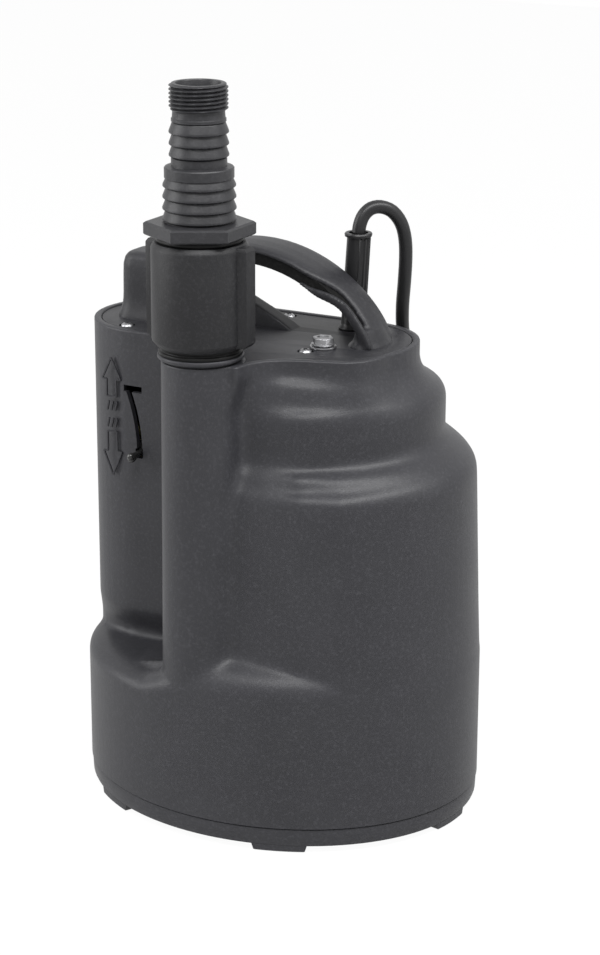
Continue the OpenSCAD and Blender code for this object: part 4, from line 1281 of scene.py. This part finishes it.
class PUMP_OT_selector(bpy.types.Operator):
    """Selector knob: a glossy ball on a stem in the curved slot"""

    bl_idname = "pump.selector"
    bl_label = "Selector"

    def execute(self, context):
        x, z = SELECTOR_PLACE
        knob = loft("selector_knob", [circle_across_y(x, y, z, r, 32) for y, r in SELECTOR_STEPS])
        settle(knob, "black_plastic", body="selector", angle=50.0)
        return {"FINISHED"}


def panel_bar(a, b):
    """Raised bar between two (x, z) points of the float panel."""
    ends = [Vector((x, PANEL_Y, z)) for x, z in (a, b)]
    ahead = ends[1] - ends[0]
    side = ahead.cross(Vector((0.0, 1.0, 0.0))).normalized() * BAR_WIDE / 2
    top = side.cross(ahead).normalized() * BAR_HIGH / 2
    return loft("panel_arrows", [[end + side + top, end - side + top, end - side - top, end + side - top]
                                 for end in ends])


def arrow_outline(tip_z, head_z, end_z):
    """Outline of an arrow on the float panel, as (x, z) points in mm."""
    return [(-73.6, tip_z), (-68.4, head_z), (-70.9, head_z), (-70.9, end_z), (-76.2, end_z), (-76.2, head_z),
            (-78.6, head_z)]


class PUMP_OT_arrows(bpy.types.Operator):
    """Raised arrows and short bars beside the selector slot"""

    bl_idname = "pump.arrows"
    bl_label = "Arrows"

    def execute(self, context):
        lines = []
        for tip_z, head_z, end_z in ((216.0, 205.5, 197.0), (157.6, 169.5, 179.4)):
            line = arrow_outline(tip_z, head_z, end_z)
            lines += list(zip(line, line[1:] + line[:1]))
        for low, high in ((190.0, 194.6), (181.6, 186.2)):
            for x in (-75.6, -73.4, -71.2):
                lines.append(((x - 0.5, low), (x + 0.5, high)))
        first = panel_bar(*lines[0])
        for a, b in lines[1:]:
            carve(first, panel_bar(a, b), "UNION", "EXACT")
        settle(first, "body_plastic", angle=35.0)
        return {"FINISHED"}


# Finishes of the parts that stay as the frame brings them


class PUMP_OT_inside(bpy.types.Operator):
    """Gives every part that stays as it is the finish of its material slot"""

    bl_idname = "pump.inside"
    bl_label = "Inside parts"

    def execute(self, context):
        for part in frame["record"]["subparts"]:
            node = frame["nodes"][part["node"]]
            node.data.materials.clear()
            node.data.materials.append(FINISHES[part["material_slot"]])
        return {"FINISHED"}


class PUMP_OT_finishes(bpy.types.Operator):
    """Makes the finishes from the colours in the panel"""

    bl_idname = "pump.finishes"
    bl_label = "Finishes"

    def execute(self, context):
        make_finishes()
        return {"FINISHED"}


# Stage: camera, lamps, floor and background


def lamp(name, place, aim, energy, size):
    light = bpy.data.lights.new(name, "AREA")
    light.energy = energy
    light.shape = "RECTANGLE"
    light.size = size[0]
    light.size_y = size[1]
    holder = bpy.data.objects.new(name, light)
    holder.location = place
    holder.rotation_euler = (Vector(aim) - Vector(place)).to_track_quat("-Z", "Y").to_euler()
    bpy.context.collection.objects.link(holder)
    return holder


def neutral(tree, kind, grey):
    """Output of a shader of one kind with a neutral colour."""
    node = tree.nodes.new(kind)
    node.inputs["Color"].default_value = (grey, grey, grey, 1.0)
    return node.outputs[0]


def maths(tree, operation, first, second):
    node = tree.nodes.new("ShaderNodeMath")
    node.operation = operation
    tree.links.new(first, node.inputs[0])
    tree.links.new(second, node.inputs[1])
    return node.outputs[0]


def show_to_camera(tree, share, lighting, shown, output):
    """Mixes in a shader for what the camera sees, straight or by way of metal or glass."""
    path = tree.nodes.new("ShaderNodeLightPath")
    seen = maths(tree, "MAXIMUM", path.outputs["Is Camera Ray"], path.outputs["Is Glossy Ray"])
    seen = maths(tree, "MAXIMUM", seen, path.outputs["Is Transmission Ray"])
    value = tree.nodes.new("ShaderNodeValue")
    value.outputs[0].default_value = share
    blend = tree.nodes.new("ShaderNodeMixShader")
    tree.links.new(maths(tree, "MULTIPLY", seen, value.outputs[0]), blend.inputs[0])
    tree.links.new(lighting, blend.inputs[1])
    tree.links.new(shown, blend.inputs[2])
    tree.links.new(blend.outputs[0], tree.nodes.new(output).inputs["Surface"])


VIEW_LENS = 94.69
VIEW_PLACE = (0.5571, -1.0149, 0.5241)
VIEW_AHEAD = (-0.4528, 0.8388, -0.3022)
VIEW_ROLL = 0.003
LAMP_AIM = (0.0, 0.0, 0.15)


def make_camera():
    """Camera at the photograph's place, rolled a little."""
    data = bpy.data.cameras.new("view")
    data.sensor_width = 36.0
    data.lens = VIEW_LENS
    data.clip_start = 0.05
    camera = bpy.data.objects.new("view", data)
    ahead = Vector(VIEW_AHEAD).normalized()
    right = ahead.cross(Vector((0.0, 0.0, 1.0))).normalized()
    up = right.cross(ahead)
    side = right * math.cos(VIEW_ROLL) + up * math.sin(VIEW_ROLL)
    above = side.cross(ahead)
    turn = Matrix((side, above, -ahead)).transposed()
    camera.matrix_world = Matrix.Translation(Vector(VIEW_PLACE)) @ turn.to_4x4()
    return camera


def make_world():
    """Grey light on the object, and white where the camera sees the world."""
    world = bpy.data.worlds.new("white_studio")
    world.use_nodes = True
    tree = world.node_tree
    tree.nodes.clear()
    show_to_camera(tree, 1.0, neutral(tree, "ShaderNodeBackground", 0.5),
                   neutral(tree, "ShaderNodeBackground", 1.0), "ShaderNodeOutputWorld")
    return world


class PUMP_OT_stage(bpy.types.Operator):
    """Camera, softboxes, white background and the floor that keeps the shadow"""

    bl_idname = "pump.stage"
    bl_label = "Stage"

    def execute(self, context):
        scene = context.scene
        camera = make_camera()
        context.collection.objects.link(camera)
        scene.camera = camera
        lamps = [lamp("softbox_left", (-1.3, -0.75, 0.75), LAMP_AIM, 22.0, (0.9, 1.4)),
                 lamp("softbox_right", (1.35, 0.25, 0.7), LAMP_AIM, 5.0, (0.9, 1.4)),
                 lamp("softbox_top", (0.6, -0.45, 1.45), LAMP_AIM, 56.0, (2.3, 0.3))]
        scene.world = make_world()
        scene.view_settings.view_transform = "Standard"

        clear()
        bpy.ops.mesh.primitive_plane_add(size=6.0, location=(0.0, 0.0, -0.0004))
        floor = context.object
        floor.name = "floor"
        floor.data.materials.append(floor_finish())
        return {"FINISHED"}


def floor_finish():
    """White to the camera, mixed with a diffuse floor that keeps the shadow close to the object."""
    material = bpy.data.materials.new("floor_white")
    material.use_nodes = True
    tree = material.node_tree
    tree.nodes.clear()
    show_to_camera(tree, 0.96, neutral(tree, "ShaderNodeBsdfDiffuse", 0.9),
                   neutral(tree, "ShaderNodeEmission", 1.0), "ShaderNodeOutputMaterial")
    return material


# Panel and registration


OPERATORS = (PUMP_OT_finishes, PUMP_OT_stage, PUMP_OT_plug, PUMP_OT_cable, PUMP_OT_housing,
             PUMP_OT_cover, PUMP_OT_screws, PUMP_OT_coupling, PUMP_OT_adapter, PUMP_OT_sleeve,
             PUMP_OT_base, PUMP_OT_selector, PUMP_OT_arrows, PUMP_OT_inside)


class PUMP_PT_panel(bpy.types.Panel):
    """Sizes, colours and buttons of the pump"""

    bl_idname = "PUMP_PT_panel"
    bl_label = "Clean water pump"
    bl_space_type = "VIEW_3D"
    bl_region_type = "UI"
    bl_category = "Pump"

    def draw(self, context):
        for group in (context.scene.pump_sizes, context.scene.pump_colours):
            box = self.layout.box()
            for name in group.__annotations__:
                box.prop(group, name)
        for operator in OPERATORS:
            self.layout.operator(operator.bl_idname)


CLASSES = (PumpSizes, PumpColours) + OPERATORS + (PUMP_PT_panel,)


def register():
    for item in CLASSES:
        bpy.utils.register_class(item)
    bpy.types.Scene.pump_sizes = bpy.props.PointerProperty(type=PumpSizes)
    bpy.types.Scene.pump_colours = bpy.props.PointerProperty(type=PumpColours)


def unregister():
    del bpy.types.Scene.pump_colours
    del bpy.types.Scene.pump_sizes
    for item in reversed(CLASSES):
        bpy.utils.unregister_class(item)


def main():
    register()
    bpy.ops.pump.finishes()
    bpy.ops.pump.stage()
    bpy.ops.pump.plug()
    bpy.ops.pump.cable()
    bpy.ops.pump.housing()
    bpy.ops.pump.cover()
    bpy.ops.pump.screws()
    bpy.ops.pump.coupling()
    bpy.ops.pump.adapter()
    bpy.ops.pump.sleeve()
    bpy.ops.pump.base()
    bpy.ops.pump.selector()
    bpy.ops.pump.arrows()
    bpy.ops.pump.inside()
    bpy.context.view_layer.update()


if __name__ == "__main__":
    main()
